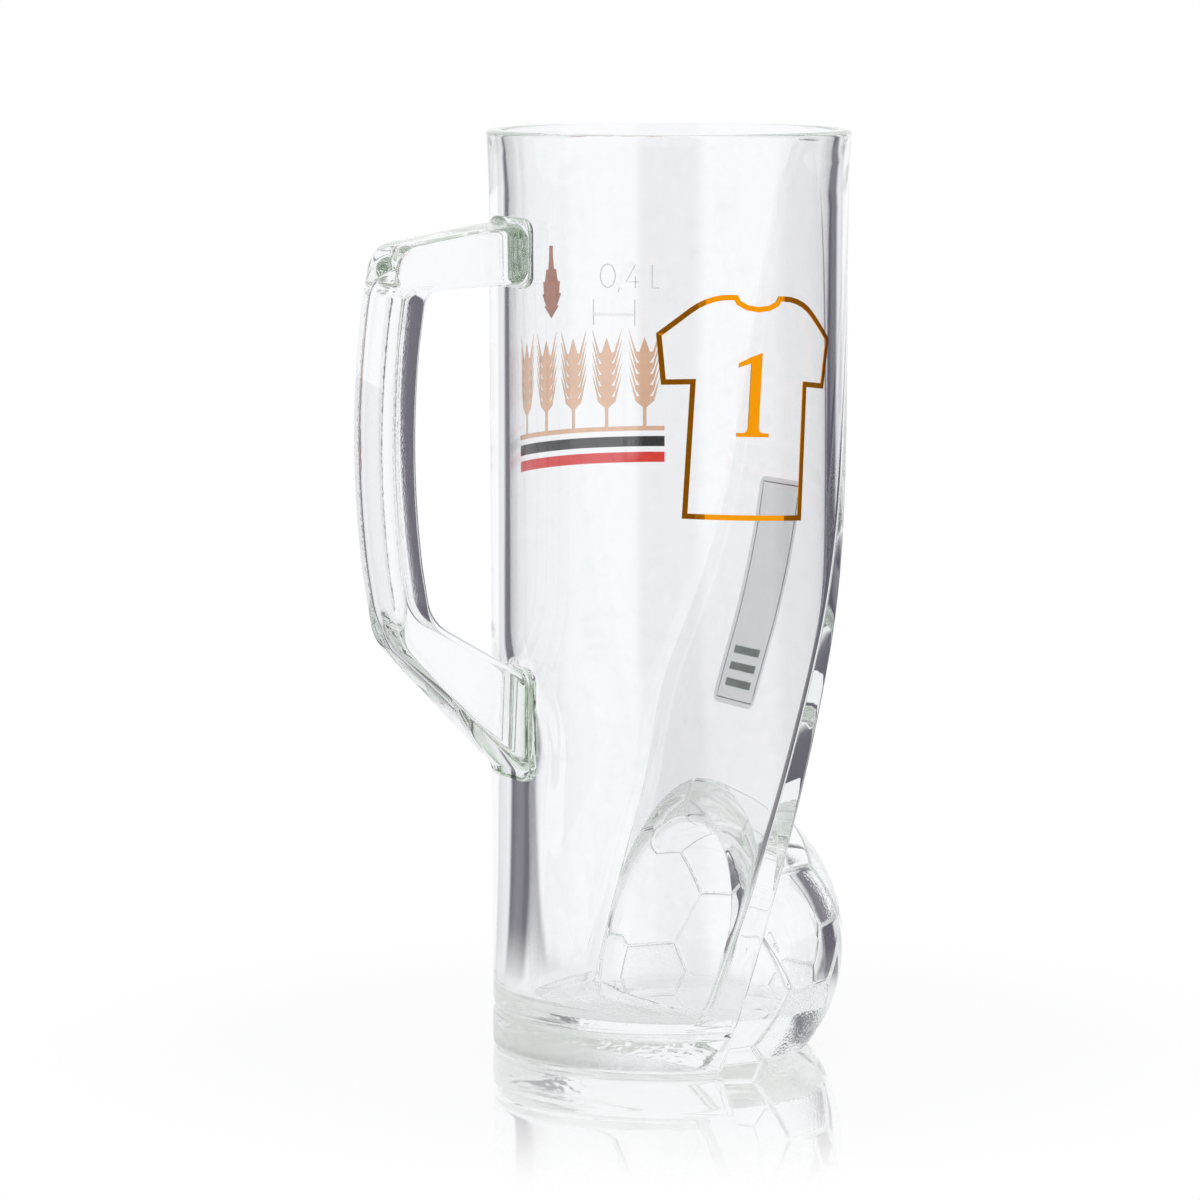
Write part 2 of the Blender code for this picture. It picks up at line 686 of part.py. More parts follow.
def barley_outline():
    """Row of ears with awns on a ground line, as one outline from right to left."""
    ground = BARLEY_GROUND_HEIGHT
    half_row = STRIPE_LENGTH / 2.0
    outline = [(half_row, ground - BARLEY_GROUND_LINE), (half_row, ground)]
    foot = ground + BARLEY_STEM_HEIGHT
    for ear in reversed(range(BARLEY_EARS)):
        middle = (ear - (BARLEY_EARS - 1) / 2.0) * BARLEY_PITCH
        side = [(BARLEY_STEM_HALF, ground), (BARLEY_STEM_HALF, foot)]
        for grain in range(BARLEY_GRAINS):
            low = foot + grain * BARLEY_GRAIN_HEIGHT
            high = low + BARLEY_GRAIN_HEIGHT
            side.append((BARLEY_GRAIN_REACH, low + BARLEY_GRAIN_BELLY))
            side.append((BARLEY_GRAIN_REACH + BARLEY_AWN_REACH, high + BARLEY_AWN_LENGTH))
            side.append((BARLEY_GRAIN_REACH - BARLEY_AWN, high))
            side.append((BARLEY_WAIST, high))
        tip = (0.0, foot + BARLEY_GRAINS * BARLEY_GRAIN_HEIGHT + BARLEY_TIP)
        outline += [(middle + across, height) for across, height in side]
        outline.append((middle + tip[0], tip[1]))
        outline += [(middle - across, height) for across, height in reversed(side)]
    outline += [(-half_row, ground), (-half_row, ground - BARLEY_GROUND_LINE)]
    return outline


def stripe_outline(number):
    """Straight stripe under the ears, counted downwards from one."""
    pitch = STRIPE_LINE + STRIPE_SPACE
    top = BARLEY_GROUND_HEIGHT - BARLEY_GROUND_LINE - STRIPE_SPACE - (number - 1) * pitch
    half = STRIPE_LENGTH / 2.0
    return [(-half, top - STRIPE_LINE), (half, top - STRIPE_LINE), (half, top), (-half, top)]


def hop_outline():
    """Hop cone: a pointed oval with scales along both edges and a short stem on top."""
    side = [(0.0, HOP_BASE_HEIGHT)]
    for scale in range(1, HOP_SCALES + 1):
        share = scale / (HOP_SCALES + 1)
        half = HOP_HALF * math.sin(math.pi * share**HOP_FULLNESS)
        height = HOP_BASE_HEIGHT + HOP_LENGTH * share
        side.append((half, height))
        side.append((half - HOP_SCALE_REACH, height))
    top = HOP_BASE_HEIGHT + HOP_LENGTH
    side += [(HOP_STEM, top), (HOP_STEM, top + HOP_STEM_LENGTH)]
    return side + [(-across, height) for across, height in reversed(side[1:])]


def label_outline():
    half = LABEL_WIDTH / 2.0
    top = LABEL_BOTTOM + LABEL_LENGTH
    corners = [(-half, LABEL_BOTTOM), (half, LABEL_BOTTOM), (half, top), (-half, top)]
    outline = []
    for index, corner in enumerate(corners):
        after = corners[(index + 1) % len(corners)]
        outline += round_corner(corners[index - 1], corner, after, LABEL_CORNER)
    return outline


def make_prints():
    gold = finish_material("gold_print", GOLD)
    figure_gold = finish_material("figure_gold_print", GOLD)
    copper = finish_material("copper_print", COPPER)
    hop_copper = finish_material("hop_copper_print", COPPER)
    black = finish_material("black_print", BLACK)
    red = finish_material("red_print", RED)
    white = finish_material("white_print", WHITE)
    field = finish_material("pale_field_print", PALE_FIELD)

    def wall(facing):
        return lambda across, height, lift: on_wall(facing, across, height, lift)

    shirt_side = wall(SHIRT_TURN)
    barley_side = wall(math.pi + BARLEY_TURN)
    hop_side = wall(math.pi + HOP_TURN)
    fill_side = wall(FILL_TURN)
    half_fill = FILL_LINE_LENGTH / 2.0
    fill_line = [
        (-half_fill, FILL_HEIGHT - FILL_LINE),
        (half_fill, FILL_HEIGHT - FILL_LINE),
        (half_fill, FILL_HEIGHT),
        (-half_fill, FILL_HEIGHT),
    ]
    shirt = flat_band(shirt_outline(), SHIRT_LINE)
    make_print("shirt_outline_print", shirt, shirt_side, gold, True)
    make_print("shirt_number_print", flat_face(figure_outline()), shirt_side, figure_gold, True)
    make_print("fill_line_print", flat_face(fill_line), fill_side, white, True)
    make_print("barley_row_print", flat_face(barley_outline()), barley_side, copper, True)
    make_print("black_stripe_print", flat_face(stripe_outline(1)), barley_side, black, True)
    make_print("red_stripe_print", flat_face(stripe_outline(2)), barley_side, red, True)
    make_print("hop_cone_print", flat_face(hop_outline()), hop_side, hop_copper, True)
    make_print("panel_label_print", flat_face(label_outline()), on_panel, field, False)


clear_scene()
make_glass_body()
make_football()
make_handle()
make_prints()
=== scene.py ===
import math

import bmesh
import bpy
from mathutils import Matrix, Vector
from mathutils.geometry import intersect_line_sphere_2d


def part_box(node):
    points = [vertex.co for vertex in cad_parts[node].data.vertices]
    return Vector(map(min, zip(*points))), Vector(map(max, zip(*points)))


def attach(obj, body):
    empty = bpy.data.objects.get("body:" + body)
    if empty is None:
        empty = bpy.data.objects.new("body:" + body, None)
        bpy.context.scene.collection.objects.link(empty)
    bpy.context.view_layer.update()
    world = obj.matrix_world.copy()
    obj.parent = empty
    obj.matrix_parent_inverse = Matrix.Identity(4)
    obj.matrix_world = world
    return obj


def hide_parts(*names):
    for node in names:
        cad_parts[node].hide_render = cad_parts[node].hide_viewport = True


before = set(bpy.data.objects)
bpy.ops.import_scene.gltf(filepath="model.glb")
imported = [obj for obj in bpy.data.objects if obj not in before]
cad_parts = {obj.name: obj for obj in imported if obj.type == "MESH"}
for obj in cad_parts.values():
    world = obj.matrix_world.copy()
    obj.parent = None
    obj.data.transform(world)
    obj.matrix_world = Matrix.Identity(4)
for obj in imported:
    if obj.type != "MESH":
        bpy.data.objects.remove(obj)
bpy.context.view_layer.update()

scene = bpy.context.scene

# Glass body
# The tall round wall, rim, floor and foot of the mug, with one side set back as a slanting
# panel. It is soda-lime glass blown into an iron mould, and its rim is polished by fire.
BODY_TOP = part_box("glass_body")[1].z
TOP_RADIUS = 0.0375
FOOT_RADIUS = 0.0369
RIM_FLARE = 0.0006
RIM_FLARE_HEIGHT = 0.016
WALL = 0.0040
RIM_WALL = 0.0032
RIM_THINNING_HEIGHT = 0.014
LOWER_WALL = 0.0074
LOWER_WALL_TOP = 0.060
LOWER_WALL_FADE = 0.028
FAR_SWELL = (math.radians(92.0), math.radians(140.0))
NEAR_SWELL = (math.radians(95.0), math.radians(180.0))
LIP_ROUND = 0.0010
FLOOR = 0.010
FLOOR_SINK = 0.0003
FLOOR_CORNER = 0.004
FLOOR_RISE = 0.0016
FOOT_RING_HEIGHT = 0.0086
FOOT_GROOVE = 0.0005
FOOT_GROOVE_HALF = 0.0007
FOOT_BULGE = 0.0001
FOOT_EDGE = 0.0012
PANEL_TOP_DROP = 0.005
PANEL_TOP_STEP = 0.0004
PANEL_TOP_LEAN = math.radians(5.6)
PANEL_FOOT_LEAN = math.radians(18.5)
PANEL_BEND_HEIGHT = 0.105
PANEL_BEND_RADIUS = 0.190
PANEL_CORNER = 0.0020
PANEL_INNER_CORNER = 0.0060
BALL_INNER_CORNER = 0.0030
BALL_CORNER_TOP = 0.045
BALL_CORNER_FADE = 0.100
PANEL_INNER_FADE = 0.008
LEAST_CUT = 0.00012
PANEL_HALF_STEPS = 14
CORNER_STEPS = 10
WALL_HALF_STEPS = 100
FOOT_EDGE_STEPS = 6
LIP_STEPS = 6
FLOOR_CORNER_STEPS = 8
FLOOR_STEPS = 12
FOOT_RINGS_TOP = 0.012
FOOT_RING_PITCH = 0.0004
WALL_RING_PITCH = 0.0025
FLARE_RING_PITCH = 0.0016
INNER_FLARE_PITCH = 0.0012
RIM_RING_PITCH = 0.001


def smooth_share(value, low, high):
    """Share from 0 to 1 of the way from low to high, with soft ends."""
    share = min(max((value - low) / (high - low), 0.0), 1.0)
    return share * share * (3.0 - 2.0 * share)


def wall_radius(height):
    """Outside radius of the wall: a slight taper, a foot ring below and a flare above."""
    flare_start = BODY_TOP - RIM_FLARE_HEIGHT
    share = (height - FOOT_RING_HEIGHT) / (flare_start - FOOT_RING_HEIGHT)
    radius = FOOT_RADIUS + (TOP_RADIUS - FOOT_RADIUS) * min(max(share, 0.0), 1.0)
    rise = max(height - flare_start, 0.0) / RIM_FLARE_HEIGHT
    groove = FOOT_GROOVE * math.exp(-(((height - FOOT_RING_HEIGHT) / FOOT_GROOVE_HALF) ** 2))
    bulge = 0.0
    if height < FOOT_RING_HEIGHT:
        bulge = FOOT_BULGE * math.sin(math.pi * height / FOOT_RING_HEIGHT)
    return radius + RIM_FLARE * rise**2 - groove + bulge


def wall_thickness(height):
    share = (BODY_TOP - height) / RIM_THINNING_HEIGHT
    return RIM_WALL + (WALL - RIM_WALL) * min(max(share, 0.0), 1.0)


def inner_radius(height):
    flare_start = BODY_TOP - RIM_FLARE_HEIGHT
    share = min(max(height / flare_start, 0.0), 1.0)
    rise = max(height - flare_start, 0.0) / RIM_FLARE_HEIGHT
    outside = FOOT_RADIUS + (TOP_RADIUS - FOOT_RADIUS) * share + RIM_FLARE * rise**2
    return outside - wall_thickness(height)


def panel_front(height):
    """Distance of the panel's front from the axis, and its lean, at a height."""
    top_x = TOP_RADIUS - PANEL_TOP_STEP
    top_z = BODY_TOP - PANEL_TOP_DROP
    cross_x = top_x - math.tan(PANEL_TOP_LEAN) * (top_z - PANEL_BEND_HEIGHT)
    middle = (PANEL_TOP_LEAN + PANEL_FOOT_LEAN) / 2.0
    back = PANEL_BEND_RADIUS / math.cos((PANEL_FOOT_LEAN - PANEL_TOP_LEAN) / 2.0)
    centre_x = cross_x - back * math.cos(middle)
    centre_z = PANEL_BEND_HEIGHT + back * math.sin(middle)
    sine = (centre_z - height) / PANEL_BEND_RADIUS
    sine = min(max(sine, math.sin(PANEL_TOP_LEAN)), math.sin(PANEL_FOOT_LEAN))
    lean = math.asin(sine)
    x = centre_x + PANEL_BEND_RADIUS * math.cos(lean)
    z = centre_z - PANEL_BEND_RADIUS * sine
    return x + math.tan(lean) * (height - z), lean


def wall_swell(height):
    """How much thicker the wall is on the handle's side, towards the foot."""
    faded = smooth_share(height, LOWER_WALL_TOP, LOWER_WALL_TOP + LOWER_WALL_FADE)
    return (LOWER_WALL - WALL) * (1.0 - faded)


def inner_corner(height):
    """Rounding of the inside beside the panel, which is less beside the ball."""
    share = smooth_share(height, BALL_CORNER_TOP, BALL_CORNER_TOP + BALL_CORNER_FADE)
    return BALL_INNER_CORNER + (PANEL_INNER_CORNER - BALL_INNER_CORNER) * share


def panel_back(height):
    """Distance of the panel's inner face from the axis; it fades into the round wall on top."""
    front, lean = panel_front(height)
    flat = front - wall_thickness(height) / math.cos(lean)
    top = BODY_TOP - PANEL_TOP_DROP
    fade = smooth_share(height, top - PANEL_INNER_FADE, top + LIP_ROUND)
    return flat + (inner_radius(height) - flat) * fade


def panel_ring(radius, panel, corner, height, swell=0.0):
    """Ring of a circle that is cut back by a straight panel, with rounded corners. A swell draws
    it in on the side away from the panel, over a longer stretch on the near side."""
    panel = min(panel, radius - LEAST_CUT)
    reach = math.sqrt((radius - corner) ** 2 - (panel - corner) ** 2)
    turn = math.atan2(reach, panel - corner)
    halves = []
    for start, end in (FAR_SWELL, NEAR_SWELL):
        half = [(panel, reach * step / PANEL_HALF_STEPS) for step in range(PANEL_HALF_STEPS)]
        for step in range(CORNER_STEPS):
            angle = turn * step / CORNER_STEPS
            half.append((panel - corner + corner * math.cos(angle), reach + corner * math.sin(angle)))
        for step in range(WALL_HALF_STEPS + 1):
            angle = turn + (math.pi - turn) * step / WALL_HALF_STEPS
            away = radius - swell * smooth_share(angle, start, end)
            half.append((away * math.cos(angle), away * math.sin(angle)))
        halves.append(half)
    far, near = halves
    ring = far + [(x, -y) for x, y in reversed(near[1:-1])]
    return [Vector((x, y, height)) for x, y in ring]


def round_ring(radius, like, height):
    """Full circle with a point in the direction of each point of another ring."""
    scale = [radius / math.hypot(point.x, point.y) for point in like]
    return [Vector((p.x * s, p.y * s, height)) for p, s in zip(like, scale)]


def steps_between(low, high, pitch):
    count = max(1, round((high - low) / pitch))
    return [low + (high - low) * step / count for step in range(count + 1)]


def outside_rings():
    """Rings of the outside, from the edge of the foot up to the lip."""
    rings = []
    for step in range(FOOT_EDGE_STEPS):
        angle = math.pi / 2.0 * step / FOOT_EDGE_STEPS
        height = FOOT_EDGE * (1.0 - math.sin(angle))
        radius = wall_radius(height) - FOOT_EDGE * (1.0 - math.cos(angle))
        rings.append((height, radius))
    rings.reverse()
    flare_start = BODY_TOP - RIM_FLARE_HEIGHT
    panel_top = BODY_TOP - PANEL_TOP_DROP
    heights = steps_between(FOOT_EDGE, FOOT_RINGS_TOP, FOOT_RING_PITCH)[1:]
    heights += steps_between(FOOT_RINGS_TOP, flare_start, WALL_RING_PITCH)[1:]
    heights += steps_between(flare_start, panel_top, FLARE_RING_PITCH)[1:]
    rings += [(height, wall_radius(height)) for height in heights]
    made = [panel_ring(r, panel_front(z)[0], PANEL_CORNER, z) for z, r in rings]
    pattern = made[-1]
    for height in steps_between(panel_top + PANEL_TOP_STEP, BODY_TOP - LIP_ROUND, RIM_RING_PITCH):
        made.append(round_ring(wall_radius(height), pattern, height))
    lip = wall_radius(BODY_TOP) - LIP_ROUND
    for step in range(1, LIP_STEPS + 1):
        angle = math.pi / 2.0 * step / LIP_STEPS
        height = BODY_TOP - LIP_ROUND + LIP_ROUND * math.sin(angle)
        made.append(round_ring(lip + LIP_ROUND * math.cos(angle), pattern, height))
    return made


def inside_rings():
    """Rings of the inside, from the lip down to the middle of the floor."""
    flare_start = BODY_TOP - RIM_FLARE_HEIGHT
    panel_top = BODY_TOP - PANEL_TOP_DROP
    heights = steps_between(FLOOR + FLOOR_CORNER, flare_start, WALL_RING_PITCH)
    heights += steps_between(flare_start, panel_top + LIP_ROUND, INNER_FLARE_PITCH)[1:]
    heights.reverse()
    walls = []
    for height in heights:
        corner = inner_corner(height)
        swell = wall_swell(height)
        walls.append(panel_ring(inner_radius(height), panel_back(height), corner, height, swell))
    pattern = walls[0]
    lip = inner_radius(BODY_TOP) + LIP_ROUND
    made = []
    for step in range(LIP_STEPS + 1):
        angle = math.pi / 2.0 * (1.0 + step / LIP_STEPS)
        height = BODY_TOP - LIP_ROUND + LIP_ROUND * math.sin(angle)
        made.append(round_ring(lip + LIP_ROUND * math.cos(angle), pattern, height))
    made += walls
    for step in range(1, FLOOR_CORNER_STEPS + 1):
        angle = math.pi / 2.0 * step / FLOOR_CORNER_STEPS
        height = FLOOR - FLOOR_SINK + FLOOR_CORNER * (1.0 - math.sin(angle))
        inset = FLOOR_CORNER * (1.0 - math.cos(angle))
        radius = inner_radius(FLOOR + FLOOR_CORNER) - inset
        corner = inner_corner(height)
        made.append(panel_ring(radius, panel_back(height), corner, height, wall_swell(height)))
    edge = made[-1]
    middle = sum(edge, Vector()) / len(edge)
    for step in range(1, FLOOR_STEPS):
        share = 1.0 - step / FLOOR_STEPS
        ring = [middle.lerp(point, share) for point in edge]
        for point in ring:
            point.z += FLOOR_RISE * smooth_share(1.0 - share, 0.0, 1.0)
        made.append(ring)
    return made


def shape_of_rings(rings):
    """Closed shape of rings that all have as many points, with both ends filled."""
    shape = bmesh.new()
    rows = [[shape.verts.new(point) for point in ring] for ring in rings]
    count = len(rows[0])
    for low, high in zip(rows, rows[1:]):
        for index in range(count):
            after = (index + 1) % count
            shape.faces.new((low[index], low[after], high[after], high[index]))
    shape.faces.new(reversed(rows[0]))
    shape.faces.new(rows[-1])
    return shape


def make_piece(name, shape, *materials):
    """Named object of a shape, with its faces pointing out and shaded smooth."""
    bmesh.ops.recalc_face_normals(shape, faces=shape.faces)
    mesh = bpy.data.meshes.new(name)
    shape.to_mesh(mesh)
    shape.free()
    for material in materials:
        mesh.materials.append(material)
    piece = bpy.data.objects.new(name, mesh)
    scene.collection.objects.link(piece)
    mesh.shade_smooth()
    return piece


def settle(piece, sharp_angle):
    """Apply a piece's modifiers and mark its sharp edges."""
    bpy.context.view_layer.update()
    depsgraph = bpy.context.evaluated_depsgraph_get()
    mesh = bpy.data.meshes.new_from_object(piece.evaluated_get(depsgraph), depsgraph=depsgraph)
    mesh.name = piece.name
    piece.modifiers.clear()
    piece.data = mesh
    mesh.shade_smooth()
    mesh.set_sharp_from_angle(angle=sharp_angle)


def cut_away(piece, tool):
    cut = piece.modifiers.new("Cut " + tool.name, "BOOLEAN")
    cut.operation = "DIFFERENCE"
    cut.solver = "MANIFOLD"
    cut.material_mode = "TRANSFER"
    cut.object = tool


def add_node(tree, kind, **settings):
    node = tree.nodes.new("ShaderNode" + kind)
    for setting, value in settings.items():
        setattr(node, setting, value)
    return node


def feed(tree, node, **sources):
    """Set or link a node's inputs by name, with _ for a space, or by number, as _0; a source is
    a socket or a value."""
    for label, source in sources.items():
        numbered = label[1:].isdigit()
        socket = node.inputs[int(label[1:]) if numbered else label.replace("_", " ")]
        if isinstance(source, bpy.types.NodeSocket):
            tree.links.new(source, socket)
        else:
            socket.default_value = source


def node_group(name, inputs, outputs):
    """Shader node group with named sockets; gives it with its input and output nodes."""
    group = bpy.data.node_groups.new(name, "ShaderNodeTree")
    for label, kind, value in inputs:
        kind = "NodeSocket" + kind
        socket = group.interface.new_socket(name=label, in_out="INPUT", socket_type=kind)
        if value is not None:
            socket.default_value = value
    for label, kind in outputs:
        kind = "NodeSocket" + kind
        group.interface.new_socket(name=label, in_out="OUTPUT", socket_type=kind)
    return group, group.nodes.new("NodeGroupInput"), group.nodes.new("NodeGroupOutput")


BODY_WAVES = 60.0
WAVE_STRETCH = (1.0, 1.0, 0.35)
WAVE_HEIGHT = 0.00004
HAZE_TO_WAVE = 5.0
HAZE_START = 0.45
HAZE_FULL = 0.75
HAZE_ROUGHNESS = 0.012


def fire_polish_group():
    """Slow waves and faint haze of glass that was smoothed by a flame."""
    inputs = [("Wave size", "Float", BODY_WAVES), ("Stretch", "Vector", WAVE_STRETCH)]
    outputs = [("Waves", "Float"), ("Haze", "Float")]
    group, given, result = node_group("fire polish", inputs, outputs)
    place = add_node(group, "TexCoord")
    drawn = add_node(group, "VectorMath", operation="MULTIPLY")
    feed(group, drawn, _0=place.outputs["Object"], _1=given.outputs["Stretch"])
    waves = add_node(group, "TexNoise")
    feed(group, waves, Vector=drawn.outputs["Vector"], Scale=given.outputs["Wave size"], Detail=1.0)
    fine = add_node(group, "Math", operation="MULTIPLY")
    feed(group, fine, _0=given.outputs["Wave size"], _1=HAZE_TO_WAVE)
    haze = add_node(group, "TexNoise")
    feed(group, haze, Vector=place.outputs["Object"], Scale=fine.outputs["Value"], Detail=4.0)
    spread = add_node(group, "MapRange")
    feed(group, spread, Value=haze.outputs["Fac"], From_Min=HAZE_START, From_Max=HAZE_FULL)
    feed(group, result, Waves=waves.outputs["Fac"], Haze=spread.outputs["Result"])
    return group


fire_polish = fire_polish_group()

GLASS_CLEAR = (1.0, 1.0, 1.0, 1.0)
GLASS_HAZE = (0.95, 0.975, 0.965, 1.0)
GLASS_IOR = 1.51
GLASS_DEPTH_COLOUR = (0.73, 0.81, 0.71, 1.0)
GLASS_DEPTH_DENSITY = 3.0
DENT_SIZE = 1700.0
DENT_UNEVEN = 400.0
UNEVEN_LOW = 0.3
UNEVEN_HIGH = 0.7
LEAST_MATT = 0.6
STIPPLE_DENTS = 0.00010
STIPPLE_MATT = 0.12


def stipple_group():
    """Close small dents of a peened mould, with a mask for their matt look."""
    inputs = [("Dent size", "Float", DENT_SIZE), ("Mask", "Float", 1.0)]
    outputs = [("Dents", "Float"), ("Matt", "Float")]
    group, given, result = node_group("mould stipple", inputs, outputs)
    place = add_node(group, "TexCoord")
    dents = add_node(group, "TexVoronoi", feature="SMOOTH_F1")
    feed(group, dents, Vector=place.outputs["Object"], Scale=given.outputs["Dent size"])
    shown = add_node(group, "Math", operation="MULTIPLY")
    feed(group, shown, _0=dents.outputs["Distance"], _1=given.outputs["Mask"])
    uneven = add_node(group, "TexNoise")
    feed(group, uneven, Vector=place.outputs["Object"], Scale=DENT_UNEVEN, Detail=3.0)
    matt = add_node(group, "MapRange")
    feed(group, matt, Value=uneven.outputs["Fac"], From_Min=UNEVEN_LOW, From_Max=UNEVEN_HIGH)
    feed(group, matt, To_Min=LEAST_MATT, To_Max=1.0)
    masked = add_node(group, "Math", operation="MULTIPLY")
    feed(group, masked, _0=matt.outputs["Result"], _1=given.outputs["Mask"])
    feed(group, result, Dents=shown.outputs["Value"], Matt=masked.outputs["Value"])
    return group


mould_stipple = stipple_group()


def add_stipple(tree, shader, rough, bump, depth, dullness):
    """Dents of the mould on the faces of a glass that carry the stipple mark."""
    marked = add_node(tree, "Attribute", attribute_name="stipple")
    dents = add_node(tree, "Group", node_tree=mould_stipple)
    feed(tree, dents, Mask=marked.outputs["Fac"])
    matt = add_node(tree, "Math", operation="MULTIPLY_ADD")
    feed(tree, matt, _0=dents.outputs["Matt"], _1=dullness, _2=rough.outputs["Result"])
    dented = add_node(tree, "Bump")
    feed(tree, dented, Strength=1.0, Distance=depth, Height=dents.outputs["Dents"])
    feed(tree, dented, Normal=bump.outputs["Normal"])
    feed(tree, shader, Roughness=matt.outputs["Value"], Normal=dented.outputs["Normal"])


def clear_glass(name, wave_size, dents=STIPPLE_DENTS, dullness=STIPPLE_MATT):
    """Soda-lime glass with fire polish and stippled faces; the faces fused to the next piece
    aren't seen."""
    glass = bpy.data.materials.new(name)
    glass.use_nodes = True
    tree = glass.node_tree
    shader = tree.nodes["Principled BSDF"]
    polish = add_node(tree, "Group", node_tree=fire_polish)
    feed(tree, polish, Wave_size=wave_size)
    colour = add_node(tree, "Mix", data_type="RGBA")
    feed(tree, colour, Factor=polish.outputs["Haze"], _6=GLASS_CLEAR, _7=GLASS_HAZE)
    rough = add_node(tree, "MapRange")
    feed(tree, rough, Value=polish.outputs["Haze"], To_Min=0.0, To_Max=HAZE_ROUGHNESS)
    fused = add_node(tree, "Attribute", attribute_name="joint")
    seen = add_node(tree, "Math", operation="SUBTRACT")
    feed(tree, seen, _0=1.0, _1=fused.outputs["Fac"])
    bump = add_node(tree, "Bump")
    feed(tree, bump, Strength=1.0, Distance=WAVE_HEIGHT, Height=polish.outputs["Waves"])
    feed(tree, shader, Base_Color=colour.outputs[2], Roughness=rough.outputs["Result"])
    feed(tree, shader, Alpha=seen.outputs["Value"], Normal=bump.outputs["Normal"])
    feed(tree, shader, IOR=GLASS_IOR, Transmission_Weight=1.0)
    depth = add_node(tree, "VolumeAbsorption")
    feed(tree, depth, Color=GLASS_DEPTH_COLOUR, Density=GLASS_DEPTH_DENSITY)
    feed(tree, tree.nodes["Material Output"], Volume=depth.outputs["Volume"])
    add_stipple(tree, shader, rough, bump, dents, dullness)
    return glass


body_glass = clear_glass("body glass", BODY_WAVES)
body_shape = shape_of_rings(outside_rings() + inside_rings())
glass_body = make_piece("glass_body_clear", body_shape, body_glass)
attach(glass_body, "root")
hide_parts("glass_body")

# Football
# The hollow ball that swells out of the foot of the panel, with the seams of pentagons and
# hexagons pressed in by the mould. The pentagons are stippled, the hexagons are smooth.
BALL_RADIUS = 0.0348
BALL_HEIGHT = 0.0215
BALL_FRONT = 0.0374
HOLLOW_RADIUS = 0.0272
HOLLOW_FORWARD = 0.0025
HOLLOW_LOWER = 0.0028
BALL_TURN = math.radians(43.5)
SEAM_DEPTH = 0.00048
SEAM_HALF = 0.00038
SEAM_RINGS = (0.0002, 0.0004, 0.0007, 0.0012, 0.0020)
SEAM_CUTS = 11
PATCH_RINGS = 6
HOLLOW_STEPS = 120
CORNER_CUT_PERCENT = 100.0 / 3.0
BALL_WAVES = 90.0
JOINT_SINK = 0.00005
BLOCK_SIZE = 0.3
SHARP_EDGE = math.radians(35.0)

ball_middle = Vector((BALL_FRONT - BALL_RADIUS, 0.0, BALL_HEIGHT))
hollow_middle = ball_middle + Vector((HOLLOW_FORWARD, 0.0, -HOLLOW_LOWER))
foot_x, foot_lean = panel_front(0.0)
panel_facing = Vector((math.cos(foot_lean), 0.0, -math.sin(foot_lean)))
joint_point = Vector((foot_x, 0.0, 0.0)) - panel_facing * JOINT_SINK
up = Vector((0.0, 0.0, 1.0))


def edge_middle(edge):
    return (edge.verts[0].co + edge.verts[1].co) / 2.0


def add_ring(shape, patch, share):
    """Ring of faces round a patch, which shrinks to a share of its size."""
    bmesh.ops.inset_individual(shape, faces=[patch], thickness=0.0)
    centre = patch.calc_center_median()
    for vertex in patch.verts:
        vertex.co = centre.lerp(vertex.co, share)


def seamed_ball():
    """Ball of pentagons and hexagons with rounded grooves, and a mark on the pentagons."""
    shape = bmesh.new()
    bmesh.ops.create_icosphere(shape, subdivisions=1, radius=BALL_RADIUS)
    bmesh.ops.bevel(
        shape,
        geom=shape.verts[:],
        offset=CORNER_CUT_PERCENT,
        offset_type="PERCENT",
        segments=1,
        affect="VERTICES",
    )
    stretch = BALL_RADIUS / next(iter(shape.verts)).co.length
    bmesh.ops.scale(shape, verts=shape.verts, vec=(stretch, stretch, stretch))
    five = {face for face in shape.faces if len(face.verts) == 5}
    bmesh.ops.subdivide_edges(shape, edges=shape.edges[:], cuts=SEAM_CUTS)
    depth = shape.verts.layers.float.new("depth")
    stipple = shape.verts.layers.float.new("stipple")
    for vertex in shape.verts:
        vertex[depth] = SEAM_DEPTH
    patches = shape.faces[:]
    for patch in patches:
        centre = patch.calc_center_median()
        reach = min((edge_middle(edge) - centre).length for edge in patch.edges)
        size = 1.0
        shares = [1.0 - away / reach for away in SEAM_RINGS]
        shares += [shares[-1] * ring / (PATCH_RINGS + 1.0) for ring in range(PATCH_RINGS, 0, -1)]
        marked = patch in five
        for share in shares:
            add_ring(shape, patch, share / size)
            size = share
            away = (1.0 - share) * reach
            for vertex in patch.verts:
                vertex[depth] = SEAM_DEPTH * math.exp(-((away / SEAM_HALF) ** 2))
                vertex[stipple] = 1.0 if marked and away > SEAM_HALF else 0.0
        hub = bmesh.ops.poke(shape, faces=[patch])["verts"][0]
        hub[stipple] = 1.0 if marked else 0.0
    for vertex in shape.verts:
        vertex.co = vertex.co.normalized() * (BALL_RADIUS - vertex[depth])
    shape.verts.layers.float.remove(shape.verts.layers.float["depth"])
    bmesh.ops.rotate(shape, verts=shape.verts, matrix=Matrix.Rotation(BALL_TURN, 3, "Z"))
    bmesh.ops.translate(shape, verts=shape.verts, vec=ball_middle)
    return shape


def half_space(name, point, facing, *materials):
    """Large block that holds what lies behind a plane."""
    shape = bmesh.new()
    bmesh.ops.create_cube(shape, size=BLOCK_SIZE)
    turn = up.rotation_difference(facing).to_matrix()
    bmesh.ops.rotate(shape, verts=shape.verts, matrix=turn)
    middle = Vector(point) - Vector(facing).normalized() * BLOCK_SIZE / 2.0
    bmesh.ops.translate(shape, verts=shape.verts, vec=middle)
    return make_piece(name, shape, *materials)


